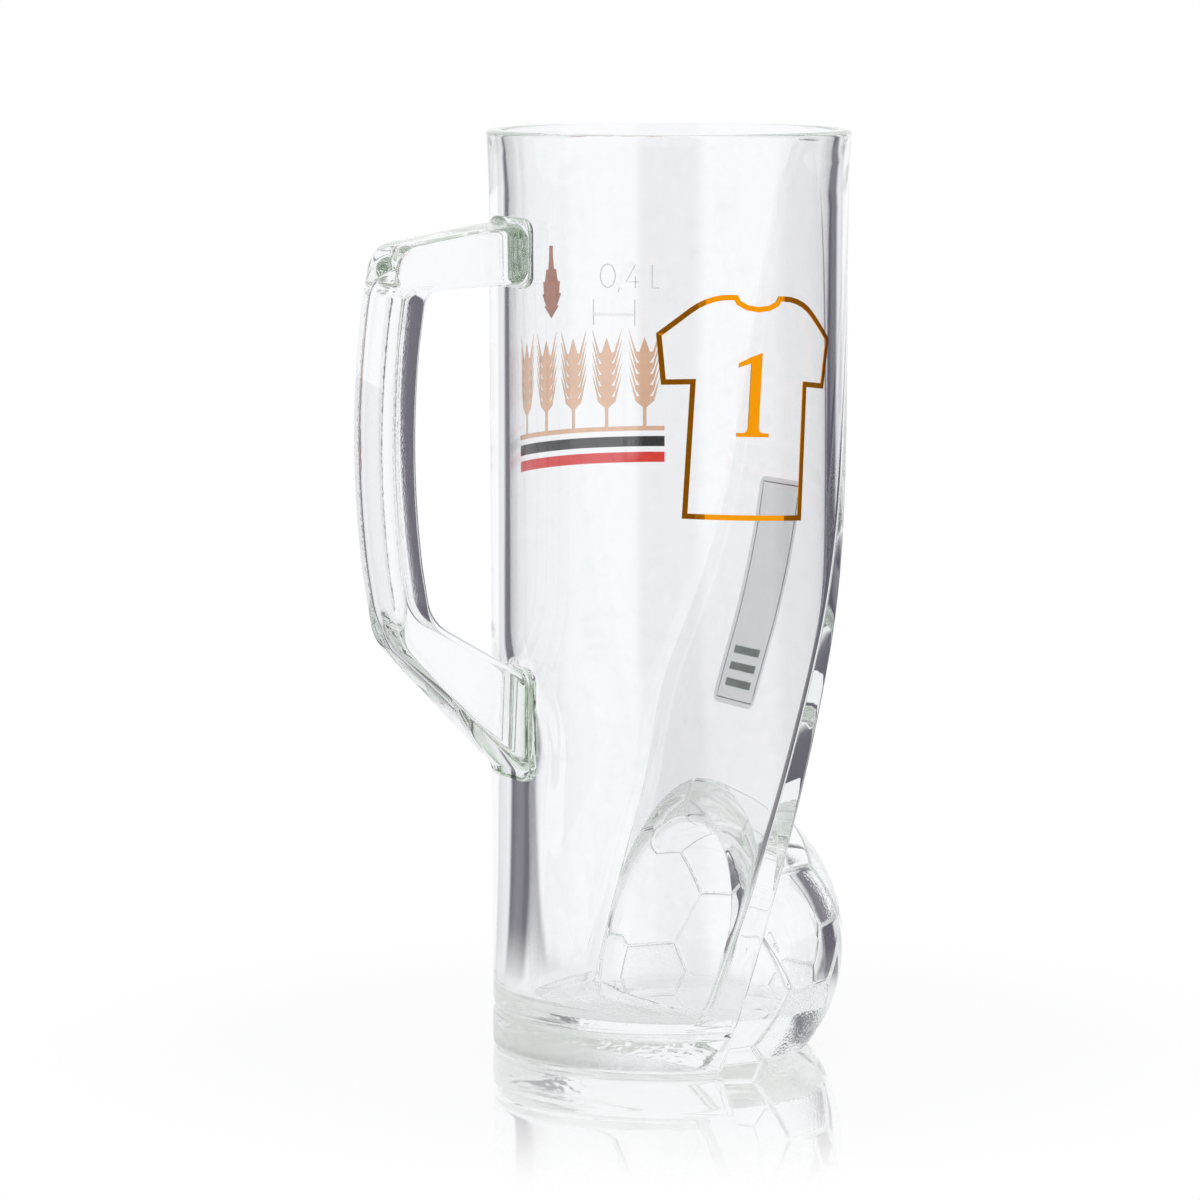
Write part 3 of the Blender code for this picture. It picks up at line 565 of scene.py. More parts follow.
def hollow_tool(name, material):
    """Hollow of the ball over the mug's floor."""
    shape = bmesh.new()
    bmesh.ops.create_uvsphere(
        shape,
        u_segments=HOLLOW_STEPS,
        v_segments=HOLLOW_STEPS // 2,
        radius=HOLLOW_RADIUS,
    )
    bmesh.ops.translate(shape, verts=shape.verts, vec=hollow_middle)
    tool = make_piece(name, shape, material)
    under = half_space(name + "_under", (0.0, 0.0, FLOOR), up, material)
    cut_away(tool, under)
    settle(tool, SHARP_EDGE)
    bpy.data.objects.remove(under)
    return tool


joint_mark = bpy.data.materials.new("joint mark")
ball_glass = clear_glass("ball glass", BALL_WAVES)
football = make_piece("football_clear", seamed_ball(), ball_glass)
ball_cuts = [
    half_space("under_ball", (0.0, 0.0, 0.0), up, ball_glass),
    half_space("behind_ball", joint_point, panel_facing, joint_mark),
    hollow_tool("ball_hollow", ball_glass),
]
for tool in ball_cuts:
    cut_away(football, tool)
settle(football, SHARP_EDGE)
for tool in ball_cuts:
    bpy.data.objects.remove(tool)
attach(football, "root")
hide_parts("football")

# Handle
# The strap that the hand goes through, pressed from a gob of the same glass and set on hot at
# two places, where its ends spread a little along the wall. The inside of the grip is stippled.
HANDLE_WIDTH = 0.0166
ARM_EDGE = 0.0016
GRIP_EDGE = 0.0022
WELD_EDGE = 0.0034
EDGE_STEPS = 7
GRIP_EDGE_START = 0.052
GRIP_EDGE_END = 0.064
GRIP_DENTS = 0.00003
GRIP_MATT = 0.10
HANDLE_WAVES = 80.0
ARM_STEPS = 12
HANDLE_ROOT = 0.006
UPPER_WELD_FLARE = 0.0011
LOWER_WELD_FLARE = 0.0014
WELD_REACH = 0.0045
WELD_SPREAD = 0.0012
LEAST_SPREAD = 0.4
MOST_SPREAD = 1.6
SEAT_BELOW_WELD = 4.0
FINGER_ROOM = 0.0250
GRIP_DEPTH = 0.0073
GRIP_MID_HEIGHT = 0.130
GRIP_BOW_RADIUS = 0.200
GRIP_STEPS = 24
GRIP_END_STEPS = 4
BEND_STEPS = 10
UPPER_ARM_TOP = 0.1745
UPPER_ARM_TOP_LEAN = math.radians(9.0)
UPPER_ARM_UNDER = 0.1622
UPPER_ARM_UNDER_LEAN = math.radians(2.5)
LOWER_ARM_TOP = 0.0815
LOWER_ARM_TOP_LEAN = math.radians(30.0)
LOWER_ARM_UNDER = 0.0605
LOWER_ARM_UNDER_LEAN = math.radians(45.5)
UPPER_OUTER_BEND = 0.006
UPPER_INNER_BEND = 0.004
LOWER_OUTER_BEND = 0.009
LOWER_INNER_BEND = 0.009


def bend(before, corner, after, radius):
    """Arc that replaces a corner of the strap's side view."""
    point = Vector(corner)
    back = (Vector(before) - point).normalized()
    on = (Vector(after) - point).normalized()
    half = back.angle(on) / 2.0
    centre = point + (back + on).normalized() * (radius / math.sin(half))
    reach = radius / math.tan(half)
    start = point + back * reach - centre
    end = point + on * reach - centre
    first = math.atan2(start.y, start.x)
    swing = math.remainder(math.atan2(end.y, end.x) - first, math.tau)
    angles = [first + swing * step / BEND_STEPS for step in range(BEND_STEPS + 1)]
    return [tuple(centre + radius * Vector((math.cos(a), math.sin(a)))) for a in angles]


def grip_corner(arm_height, arm_lean, reach, bow):
    """Where an arm's edge, rising outwards by its lean, meets a bowed face of the grip."""
    root = Vector((-TOP_RADIUS, arm_height))
    along = Vector((-math.cos(arm_lean), math.sin(arm_lean)))
    centre = (bow - reach, GRIP_MID_HEIGHT)
    crossings = intersect_line_sphere_2d(root, root + along, centre, bow, False)
    return min(crossings, key=lambda crossing: crossing.x)


def grip_face(start, end, reach, bow):
    """Points of a bowed face of the grip, clear of the bends at its ends."""
    points = []
    for step in range(GRIP_END_STEPS, GRIP_STEPS + 1 - GRIP_END_STEPS):
        height = start.y + (end.y - start.y) * step / GRIP_STEPS
        rise = height - GRIP_MID_HEIGHT
        points.append((bow - reach - math.sqrt(bow**2 - rise**2), height))
    return points


def weld(arm_point, arm_height, flare):
    """Curve by which an arm's edge spreads along the wall, up or down, and a point in the wall."""
    corner = Vector((-TOP_RADIUS, arm_height))
    spread = corner + Vector((0.0, flare))
    half = (Vector(arm_point) - corner).angle(spread - corner) / 2.0
    curve = bend(arm_point, corner, spread, abs(flare) * math.tan(half))
    return curve + [(corner.x + HANDLE_ROOT, spread.y)]


def strap_outline():
    """Side view of the strap, from the upper root round by the grip and back."""
    inner = TOP_RADIUS + FINGER_ROOM
    outer = inner + GRIP_DEPTH
    inner_bow = GRIP_BOW_RADIUS - GRIP_DEPTH
    top_out = grip_corner(UPPER_ARM_TOP, -UPPER_ARM_TOP_LEAN, outer, GRIP_BOW_RADIUS)
    low_out = grip_corner(LOWER_ARM_UNDER, LOWER_ARM_UNDER_LEAN, outer, GRIP_BOW_RADIUS)
    low_in = grip_corner(LOWER_ARM_TOP, LOWER_ARM_TOP_LEAN, inner, inner_bow)
    top_in = grip_corner(UPPER_ARM_UNDER, -UPPER_ARM_UNDER_LEAN, inner, inner_bow)
    outside = grip_face(top_out, low_out, outer, GRIP_BOW_RADIUS)
    inside = grip_face(low_in, top_in, inner, inner_bow)
    outline = weld(top_out, UPPER_ARM_TOP, UPPER_WELD_FLARE)[::-1]
    outline += bend((-TOP_RADIUS, UPPER_ARM_TOP), top_out, outside[0], UPPER_OUTER_BEND)
    outline += outside
    outline += bend(outside[-1], low_out, (-TOP_RADIUS, LOWER_ARM_UNDER), LOWER_OUTER_BEND)
    outline += weld(low_out, LOWER_ARM_UNDER, -LOWER_WELD_FLARE)
    outline += weld(low_in, LOWER_ARM_TOP, LOWER_WELD_FLARE)[::-1]
    outline += bend((-TOP_RADIUS, LOWER_ARM_TOP), low_in, inside[0], LOWER_INNER_BEND)
    outline += inside
    outline += bend(inside[-1], top_in, (-TOP_RADIUS, UPPER_ARM_UNDER), UPPER_INNER_BEND)
    outline += weld(top_in, UPPER_ARM_UNDER, -UPPER_WELD_FLARE)
    return outline


def with_arms(edge):
    """An edge of the strap's side view with more points along its straight arms."""
    welded = BEND_STEPS + 2
    shares = [step / ARM_STEPS for step in range(1, ARM_STEPS)]
    points = [Vector(point) for point in edge]
    upper = [tuple(points[welded - 1].lerp(points[welded], share)) for share in shares]
    lower = [tuple(points[-welded - 1].lerp(points[-welded], share)) for share in shares]
    return edge[:welded] + upper + edge[welded:-welded] + lower + edge[-welded:]


def strap_section(outer, inner):
    """Ring across the strap through a point of its outer and of its inner edge; its corners are
    round, most of all outside the grip and on the wall."""
    middle = (outer + inner) / 2.0
    across = (outer - inner).normalized()
    deep = (outer - inner).length / 2.0
    by_wall = smooth_share(middle.x, -TOP_RADIUS - WELD_REACH, -TOP_RADIUS)
    by_grip = smooth_share(-middle.x, GRIP_EDGE_START, GRIP_EDGE_END)
    half = HANDLE_WIDTH / 2.0
    inside = ARM_EDGE + (WELD_EDGE - ARM_EDGE) * by_wall
    outside = inside + (GRIP_EDGE - ARM_EDGE) * by_grip
    corners = (
        (1.0, 1.0, outside),
        (-1.0, 1.0, inside),
        (-1.0, -1.0, inside),
        (1.0, -1.0, outside),
    )
    ring = []
    for corner, (side, flank, edge) in enumerate(corners):
        for step in range(EDGE_STEPS + 1):
            angle = math.pi / 2.0 * (corner + step / EDGE_STEPS)
            at = middle + across * (side * (deep - edge) + edge * math.cos(angle))
            wide = flank * (half - edge) + edge * math.sin(angle)
            wide *= 1.0 + weld_spread(at.x, at.y) / half
            ring.append(Vector((at.x, wide, at.y)))
    return ring


def strap_shape():
    outline = strap_outline()
    count = len(outline) // 2
    outer = with_arms(outline[:count])
    inner = with_arms(outline[count:][::-1])
    pairs = zip(outer, inner)
    return shape_of_rings([strap_section(Vector(out), Vector(into)) for out, into in pairs])


def weld_spread(x, height):
    """How far a side of the strap spreads on the wall: most at the weld's upper and lower ends."""
    top, under = LOWER_ARM_TOP, LOWER_ARM_UNDER
    if height > GRIP_MID_HEIGHT:
        top, under = UPPER_ARM_TOP, UPPER_ARM_UNDER
    off_middle = (2.0 * height - top - under) / (top - under)
    share = smooth_share(x, -TOP_RADIUS - WELD_REACH, -TOP_RADIUS + WELD_REACH)
    return WELD_SPREAD * share * min(LEAST_SPREAD + off_middle**2, MOST_SPREAD)


def wall_shape():
    """Solid as thick as the mug's wall, on which the strap's ends are seated."""
    low = LOWER_ARM_UNDER - SEAT_BELOW_WELD * LOWER_WELD_FLARE
    high = BODY_TOP - PANEL_TOP_DROP
    like = panel_ring(TOP_RADIUS, TOP_RADIUS - PANEL_CORNER, PANEL_CORNER, 0.0)
    heights = steps_between(low, high, WALL_RING_PITCH)
    return shape_of_rings([round_ring(wall_radius(z) - JOINT_SINK, like, z) for z in heights])


def mark_joint(piece, glass):
    """Note the faces that are fused to the next piece, and leave one glass on all faces."""
    mesh = piece.data
    fused = mesh.attributes.new("joint", "FLOAT", "FACE")
    for face in mesh.polygons:
        fused.data[face.index].value = float(mesh.materials[face.material_index] != glass)
        face.material_index = 0
    mesh.materials.clear()
    mesh.materials.append(glass)


handle_glass = clear_glass("handle glass", HANDLE_WAVES, GRIP_DENTS, GRIP_MATT)
handle = make_piece("handle_clear", strap_shape(), handle_glass)
seat = make_piece("handle_seat", wall_shape(), joint_mark)
cut_away(handle, seat)
settle(handle, SHARP_EDGE)
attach(handle, "root")
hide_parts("handle")

# Joints of the glass
# The three glass pieces are one where they meet: the ball's hollow opens into the mug, and the
# strap's ends are fused to the wall, so the body is cut to the faces that they share.
OPENING_MORE = 0.00003
OPENING_ROUND = 0.0024
OPENING_BACK = 0.0060
OPENING_BACK_RADIUS = 0.0296
OPENING_FRONT = 0.0020
OPENING_STEPS = 12
FACING_TABLE = 0.9
FACING_MUG = 0.95


def opening_profile():
    """Half of the opening's cut as (along, away) from the hollow's middle: a flat mouth in the
    panel's inner face, a rounded edge and a stretch of the ball's hollow."""
    hollow = HOLLOW_RADIUS + OPENING_MORE
    front = (joint_point - hollow_middle).dot(panel_facing)
    face = front - WALL
    middle = face + OPENING_ROUND
    away = math.sqrt((hollow + OPENING_ROUND) ** 2 - middle**2)
    points = [
        (face - OPENING_BACK, OPENING_BACK_RADIUS),
        (face - OPENING_MORE, OPENING_BACK_RADIUS),
        (face - OPENING_MORE, away),
    ]
    swing = math.atan2(-away, -middle) % math.tau - math.pi
    for step in range(OPENING_STEPS + 1):
        angle = math.pi + swing * step / OPENING_STEPS
        along = middle + OPENING_ROUND * math.cos(angle)
        points.append((along, away + OPENING_ROUND * math.sin(angle)))
    last = points[-1][0]
    for step in range(1, OPENING_STEPS + 1):
        along = last + (front + OPENING_FRONT - last) * step / OPENING_STEPS
        points.append((along, math.sqrt(hollow**2 - along**2)))
    return points


def opening_tool():
    """Round cut through the panel's foot, square to the panel and flat at the floor."""
    level = Vector((0.0, 1.0, 0.0))
    upright = panel_facing.cross(level)
    rings = []
    for along, away in opening_profile():
        centre = hollow_middle + panel_facing * along
        turns = [math.tau * step / HOLLOW_STEPS for step in range(HOLLOW_STEPS)]
        rings.append([centre + (level * math.cos(t) + upright * math.sin(t)) * away for t in turns])
    tool = make_piece("ball_opening", shape_of_rings(rings), body_glass)
    under = half_space("under_opening", (0.0, 0.0, FLOOR - OPENING_MORE), up, body_glass)
    cut_away(tool, under)
    settle(tool, SHARP_EDGE)
    bpy.data.objects.remove(under)
    return tool


hollow = opening_tool()
for tool in (hollow, football, handle):
    cut_away(glass_body, tool)
settle(glass_body, SHARP_EDGE)
mark_joint(glass_body, body_glass)
mark_joint(football, ball_glass)
mark_joint(handle, handle_glass)


def stipple_faces(piece, chosen):
    """Mark the faces of a piece that its mould stippled."""
    if "stipple" in piece.data.attributes:
        piece.data.attributes.remove(piece.data.attributes["stipple"])
    marks = piece.data.attributes.new("stipple", "FLOAT", "FACE")
    for face in piece.data.polygons:
        marks.data[face.index].value = float(chosen(face))


def under_mug(face):
    return face.normal.z < -FACING_TABLE and face.center.z < FOOT_EDGE


def inside_grip(face):
    return face.normal.x > FACING_MUG and face.center.x < -TOP_RADIUS - FINGER_ROOM / 2.0


stipple_faces(glass_body, under_mug)
stipple_faces(handle, inside_grip)
for tool in (seat, hollow):
    bpy.data.objects.remove(tool)
bpy.data.materials.remove(joint_mark)

# Shirt and figure
# The outline of a plain shirt and the figure one, printed on the near wall in bright gold through
# a screen and fired, so they shine like metal and have fine pinholes.
GOLD_LIGHT = (1.0, 0.39, 0.004, 1.0)
GOLD_DARK = (0.88, 0.28, 0.004, 1.0)
GOLD_ROUGHNESS = 0.09
GRAIN_SIZE = 900.0
GRAIN_DEPTH = 0.00002
GRAIN_STRENGTH = 0.4
GRAIN_DETAIL = 5.0
GLOSS_LEAST = 0.7
GLOSS_MOST = 1.3
PINHOLE_SPACING = 420.0
PINHOLE_SIZE = 0.035


def fired_grain_group():
    """Fine grain of a screened and fired layer, and its cover, which is broken by pinholes."""
    inputs = [("Grain size", "Float", GRAIN_SIZE), ("Cover", "Float", 1.0)]
    outputs = [("Grain", "Float"), ("Cover", "Float")]
    group, given, result = node_group("fired grain", inputs, outputs)
    place = add_node(group, "TexCoord")
    grain = add_node(group, "TexNoise")
    feed(group, grain, Vector=place.outputs["Object"], Scale=given.outputs["Grain size"])
    feed(group, grain, Detail=GRAIN_DETAIL)
    holes = add_node(group, "TexVoronoi")
    feed(group, holes, Vector=place.outputs["Object"], Scale=PINHOLE_SPACING)
    closed = add_node(group, "Math", operation="GREATER_THAN")
    feed(group, closed, _0=holes.outputs["Distance"], _1=PINHOLE_SIZE)
    cover = add_node(group, "Math", operation="MULTIPLY")
    feed(group, cover, _0=closed.outputs["Value"], _1=given.outputs["Cover"])
    feed(group, result, Grain=grain.outputs["Fac"], Cover=cover.outputs["Value"])
    return group


fired_grain = fired_grain_group()


def fired_print(name, light, dark, metallic, roughness, cover=1.0, through=0.0):
    """Thin fired layer whose colour, gloss and cover are uneven in fine grains; light may shine
    through it."""
    paint = bpy.data.materials.new(name)
    paint.use_nodes = True
    tree = paint.node_tree
    shader = tree.nodes["Principled BSDF"]
    grain = add_node(tree, "Group", node_tree=fired_grain)
    feed(tree, grain, Cover=cover)
    colour = add_node(tree, "Mix", data_type="RGBA")
    feed(tree, colour, Factor=grain.outputs["Grain"], _6=dark, _7=light)
    rough = add_node(tree, "MapRange")
    feed(tree, rough, Value=grain.outputs["Grain"])
    feed(tree, rough, To_Min=roughness * GLOSS_LEAST, To_Max=roughness * GLOSS_MOST)
    bump = add_node(tree, "Bump")
    feed(tree, bump, Strength=GRAIN_STRENGTH, Distance=GRAIN_DEPTH, Height=grain.outputs["Grain"])
    feed(tree, shader, Base_Color=colour.outputs[2], Roughness=rough.outputs["Result"])
    feed(tree, shader, Alpha=grain.outputs["Cover"], Normal=bump.outputs["Normal"], Metallic=metallic)
    feed(tree, shader, Transmission_Weight=through)
    return paint


def dress(node, paint):
    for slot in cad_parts[node].material_slots:
        slot.material = paint


gold = fired_print("fired gold", GOLD_LIGHT, GOLD_DARK, 1.0, GOLD_ROUGHNESS)
dress("shirt_outline_print", gold)
dress("shirt_number_print", gold)

# Fill mark
# The line up to which the mug is filled, with a tick at each end and its volume over it. They are
# fine lines of pale enamel, so thin that the glass shows through. Their grey is the pale enamel
# darkened for the shade on the strokes' raised edges: painted shade.
# Pale enamel darkened to grey for the shade on the raised strokes: painted shade.
MARK_SHADED_LIGHT = (0.62, 0.63, 0.62, 1.0)
MARK_SHADED_DARK = (0.42, 0.43, 0.42, 1.0)
MARK_COVER = 0.44
LINE_COVER = 0.10
MARK_ROUGHNESS = 0.4
MARK_LINE = 0.00018
MARK_BASE = 0.1622
MARK_HEIGHT = 0.0047
NOUGHT_PLACE = -0.0313
NOUGHT_HALF = 0.0016
NOUGHT_STEPS = 32
COMMA_PLACE = -0.0288
COMMA_SLANT = 0.0003
COMMA_HEIGHT = 0.0010
FOUR_PLACE = -0.0261
FOUR_HALF = 0.0013
FOUR_BAR = 0.0012
FOUR_STEM = 0.0006
LITRE_PLACE = -0.0221
LITRE_FOOT = 0.0014
TICK_PLACES = (-0.0344, -0.0256)
TICK_LOW = 0.1545
TICK_HIGH = 0.1598
PRINT_LIFT = 0.00006
PRINT_DEPTH = 0.00005


def on_wall(across, height, lift):
    """Place on the near wall, so far round it from its middle."""
    radius = wall_radius(height)
    angle = across / radius
    return Vector((math.sin(angle), -math.cos(angle), 0.0)) * (radius + lift) + up * height


def add_stroke(shape, path, line, place, lift, closed=False):
    """Thin bar along a path of (across, height) on the glass, joined to itself or with ends."""
    count = len(path)
    rows = []
    for index, point in enumerate(path):
        here = Vector(point)
        before = Vector(path[index - 1]) if closed or index else here
        after = Vector(path[(index + 1) % count]) if closed or index + 1 < count else here
        along = (after - before).normalized()
        side = Vector((-along.y, along.x)) * line / 2.0
        corners = [(here + side, 0.0), (here - side, 0.0)]
        corners += [(here - side, PRINT_DEPTH), (here + side, PRINT_DEPTH)]
        rows.append([shape.verts.new(place(at.x, at.y, lift + depth)) for at, depth in corners])
    pairs = list(zip(rows, rows[1:]))
    if closed:
        pairs.append((rows[-1], rows[0]))
    for low, high in pairs:
        for index in range(4):
            after = (index + 1) % 4
            shape.faces.new((low[index], low[after], high[after], high[index]))
    if not closed:
        shape.faces.new(reversed(rows[0]))
        shape.faces.new(rows[-1])


def fill_figures():
    """Nought, comma, four and the sign for litres, with a tick at each end of the fill line."""
    top = MARK_BASE + MARK_HEIGHT
    turns = [math.tau * step / NOUGHT_STEPS for step in range(NOUGHT_STEPS)]
    middle = (MARK_BASE + top) / 2.0
    half = MARK_HEIGHT / 2.0
    nought = [(NOUGHT_PLACE + NOUGHT_HALF * math.cos(t), middle + half * math.sin(t)) for t in turns]
    comma = [(COMMA_PLACE, MARK_BASE), (COMMA_PLACE - COMMA_SLANT, MARK_BASE - COMMA_HEIGHT)]
    stem = FOUR_PLACE + FOUR_STEM
    bar = MARK_BASE + FOUR_BAR
    four = [(stem, top), (FOUR_PLACE - FOUR_HALF, bar), (FOUR_PLACE + FOUR_HALF, bar)]
    four_stem = [(stem, bar + MARK_HEIGHT / 4.0), (stem, MARK_BASE)]
    litre = [(LITRE_PLACE, top), (LITRE_PLACE, MARK_BASE), (LITRE_PLACE + LITRE_FOOT, MARK_BASE)]
    shape = bmesh.new()
    add_stroke(shape, nought, MARK_LINE, on_wall, PRINT_LIFT, closed=True)
    for path in (comma, four, four_stem, litre):
        add_stroke(shape, path, MARK_LINE, on_wall, PRINT_LIFT)
    for tick in TICK_PLACES:
        add_stroke(shape, [(tick, TICK_LOW), (tick, TICK_HIGH)], MARK_LINE, on_wall, PRINT_LIFT)
    return shape


# The grey of pale enamel and painted shade, for the figures and for the line.
mark_enamel_and_shade = (MARK_SHADED_LIGHT, MARK_SHADED_DARK, 0.0, MARK_ROUGHNESS)
mark_paint = fired_print("fill mark enamel and painted shade", *mark_enamel_and_shade, MARK_COVER)
line_paint = fired_print("fill line enamel and painted shade", *mark_enamel_and_shade, LINE_COVER)
fill_mark = make_piece("fill_mark_figures", fill_figures(), mark_paint)
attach(fill_mark, "root")
dress("fill_line_print", line_paint)

# Barley row, stripes and hop cone
# The decoration of the far wall: a row of barley ears on a ground line, a black and a red stripe
# under it and a hop cone over it. Each is screened on and fired. The barley is copper, made pale
# as copper looks where it mirrors the white studio, a painted reflection; the hop cone is a darker
# copy of the same copper, painted shade; the stripes are black and red enamel.
# Pale copper, as copper looks where it mirrors the white studio: painted reflection.
COPPER_REFLECTION_LIGHT = (1.0, 0.72, 0.50, 1.0)
COPPER_REFLECTION_DARK = (0.97, 0.52, 0.31, 1.0)
COPPER_THROUGH = 0.85
# A darker copy of the same copper for the hop cone: painted shade.
COPPER_SHADE_LIGHT = (0.85, 0.40, 0.26, 1.0)
COPPER_SHADE_DARK = (0.62, 0.24, 0.14, 1.0)
COPPER_SHADE_THROUGH = 0.6
COPPER_ROUGHNESS = 0.16
BLACK_LIGHT = (0.012, 0.016, 0.017, 1.0)
BLACK_DARK = (0.004, 0.006, 0.007, 1.0)
RED_LIGHT = (0.95, 0.025, 0.02, 1.0)
RED_DARK = (0.88, 0.012, 0.01, 1.0)
RED_THROUGH = 0.9
ENAMEL_ROUGHNESS = 0.3

# The barley's pale copper is a painted reflection, the hop cone's darker copper painted shade.
for node, name, light, dark, roughness, through in (
    ("barley_row_print", "fired copper with painted reflection", COPPER_REFLECTION_LIGHT, COPPER_REFLECTION_DARK, COPPER_ROUGHNESS, COPPER_THROUGH),
    ("hop_cone_print", "fired copper with painted shade", COPPER_SHADE_LIGHT, COPPER_SHADE_DARK, COPPER_ROUGHNESS, COPPER_SHADE_THROUGH),
    ("black_stripe_print", "black enamel", BLACK_LIGHT, BLACK_DARK, ENAMEL_ROUGHNESS, 0.0),
    ("red_stripe_print", "red enamel", RED_LIGHT, RED_DARK, ENAMEL_ROUGHNESS, RED_THROUGH),
):
    dress(node, fired_print(name, light, dark, 0.0, roughness, through=through))

# Panel label
# A plain pale field on the slanting panel, with a fine frame and bars on it. It is a transfer of
# thin enamel, fired on, and the light shines through it.
FIELD_LIGHT = (0.80, 0.83, 0.81, 1.0)
FIELD_DARK = (0.66, 0.70, 0.68, 1.0)
FIELD_COVER = 0.24
FRAME_LIGHT = (0.20, 0.25, 0.27, 1.0)
FRAME_DARK = (0.12, 0.16, 0.18, 1.0)
BAR_LIGHT = (0.05, 0.30, 0.10, 1.0)
BAR_DARK = (0.03, 0.20, 0.07, 1.0)
LABEL_ROUGHNESS = 0.4
LABEL_BOTTOM = 0.0705
LABEL_LENGTH = 0.048
LABEL_WIDTH = 0.017
LABEL_LIFT = 0.00027
FRAME_INSET = 0.0011
FRAME_LINE = 0.00025
FRAME_STEPS = 20
BAR_LINE = 0.0016
BAR_SPACE = 0.0034
BAR_COUNT = 3
BAR_INSET = 0.0033


def on_panel(across, height, lift):
    x, lean = panel_front(height)
    return Vector((x + lift * math.cos(lean), across, height - lift * math.sin(lean)))


def label_frame():
    """Line just inside the field's edge, with points along its sides to follow the bent panel."""
    half = LABEL_WIDTH / 2.0 - FRAME_INSET
    low = LABEL_BOTTOM + FRAME_INSET
    high = LABEL_BOTTOM + LABEL_LENGTH - FRAME_INSET
    heights = [low + (high - low) * step / FRAME_STEPS for step in range(FRAME_STEPS + 1)]
    shape = bmesh.new()
    path = [(half, height) for height in heights] + [(-half, height) for height in reversed(heights)]
    add_stroke(shape, path, FRAME_LINE, on_panel, LABEL_LIFT, closed=True)
    return shape


def label_bars():
    """Short level bars above the frame's lower end."""
    half = LABEL_WIDTH / 2.0 - BAR_INSET
    shape = bmesh.new()
    for bar in range(1, BAR_COUNT + 1):
        height = LABEL_BOTTOM + FRAME_INSET + bar * BAR_SPACE
        add_stroke(shape, [(-half, height), (half, height)], BAR_LINE, on_panel, LABEL_LIFT)
    return shape


field = fired_print("pale enamel", FIELD_LIGHT, FIELD_DARK, 0.0, LABEL_ROUGHNESS, FIELD_COVER)
frame_paint = fired_print("grey enamel", FRAME_LIGHT, FRAME_DARK, 0.0, LABEL_ROUGHNESS)
bar_paint = fired_print("green enamel", BAR_LIGHT, BAR_DARK, 0.0, LABEL_ROUGHNESS)
dress("panel_label_print", field)
for name, shape, paint in (
    ("label_frame", label_frame(), frame_paint),
    ("label_bars", label_bars(), bar_paint),
):
    piece = make_piece(name, shape, paint)
    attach(piece, "root")

# Studio
# The mug stands on a white table in front of a white sweep, between white sheets with dark gaps,
# which draw the edges of the glass. The table mirrors and shades only close to the foot, and the
# camera stands a little over a metre away. For rays other than the camera's, the table glows with
# the studio's light: painted light.
CAMERA_TURN = math.radians(-28.0)
CAMERA_FAR = 1.19248
CAMERA_HEIGHT = 0.23454
CAMERA_TILT = math.radians(6.709)
CAMERA_ASIDE = 0.01433
CAMERA_LENS = 171.435
CAMERA_SENSOR = 36.0
LIGHT_BOUNCES = 96
WHITE_LIGHT = (0.97, 0.97, 1.0, 1.0)
GAP_LIGHT = (0.11, 0.10, 0.135, 1.0)
ROOM_LIGHT = (0.22, 0.21, 0.22, 1.0)
TABLE_LIGHT = (0.90, 0.91, 0.92, 1.0)
PURE_WHITE = (1.0, 1.0, 1.0, 1.0)
SIDE_SHEET_MIDDLE = math.radians(85.0)
SIDE_SHEET_HALF = math.radians(22.0)
ROOF_START = 0.5
ROOF_FULL = 0.75
FLOOR_REACH = 6.0
FLOOR_SIDES = 96
FLOOR_DROP = 0.0002
FLOOR_COLOUR = (0.9, 0.9, 0.9, 1.0)
FLOOR_ROUGHNESS = 0.5
MIRROR_NEAR = 0.037
MIRROR_FAR = 0.150
MIRROR_SHARE = 0.65
MIRROR_ROUGHNESS = 0.02
SHADOW_SHARE = 0.25
CLOSE_NEAR = 0.06
CLOSE_FAR = 0.18

ahead = Vector((-math.sin(CAMERA_TURN), math.cos(CAMERA_TURN), 0.0))
aside = Vector((math.cos(CAMERA_TURN), math.sin(CAMERA_TURN), 0.0))


def sweep_group():
    """Light of the studio by direction, and the angle from straight ahead: white ahead, dark gaps,
    white side sheets and a dim room."""
    inputs = [("Direction", "Vector", None)]
    outputs = [("Light", "Color"), ("Angle", "Float")]
    group, given, result = node_group("studio sweep", inputs, outputs)
    along = add_node(group, "VectorMath", operation="DOT_PRODUCT")
    feed(group, along, _0=given.outputs["Direction"], _1=ahead)
    across = add_node(group, "VectorMath", operation="DOT_PRODUCT")
    feed(group, across, _0=given.outputs["Direction"], _1=aside)
    angle = add_node(group, "Math", operation="ARCTAN2")
    feed(group, angle, _0=across.outputs["Value"], _1=along.outputs["Value"])
    turn = add_node(group, "MapRange")
    feed(group, turn, Value=angle.outputs["Value"], From_Min=-math.pi, From_Max=math.pi)
    ramp = add_node(group, "ValToRGB")
    stops = ramp.color_ramp.elements
    stops[0].color = ROOM_LIGHT
    stops[-1].color = ROOM_LIGHT
    for degrees, light in (
        (-162.0, ROOM_LIGHT),
        (-156.0, WHITE_LIGHT),
        (-70.0, WHITE_LIGHT),
        (-63.0, GAP_LIGHT),
        (-40.0, GAP_LIGHT),
        (-36.0, WHITE_LIGHT),
        (31.0, WHITE_LIGHT),
        (35.0, GAP_LIGHT),
        (63.0, GAP_LIGHT),
        (70.0, ROOM_LIGHT),
        (100.0, ROOM_LIGHT),
        (106.0, WHITE_LIGHT),
        (156.0, WHITE_LIGHT),
        (162.0, ROOM_LIGHT),
    ):
        stops.new((degrees + 180.0) / 360.0).color = light
    feed(group, ramp, Fac=turn.outputs["Result"])
    feed(group, result, Light=ramp.outputs["Color"], Angle=angle.outputs["Value"])
    return group


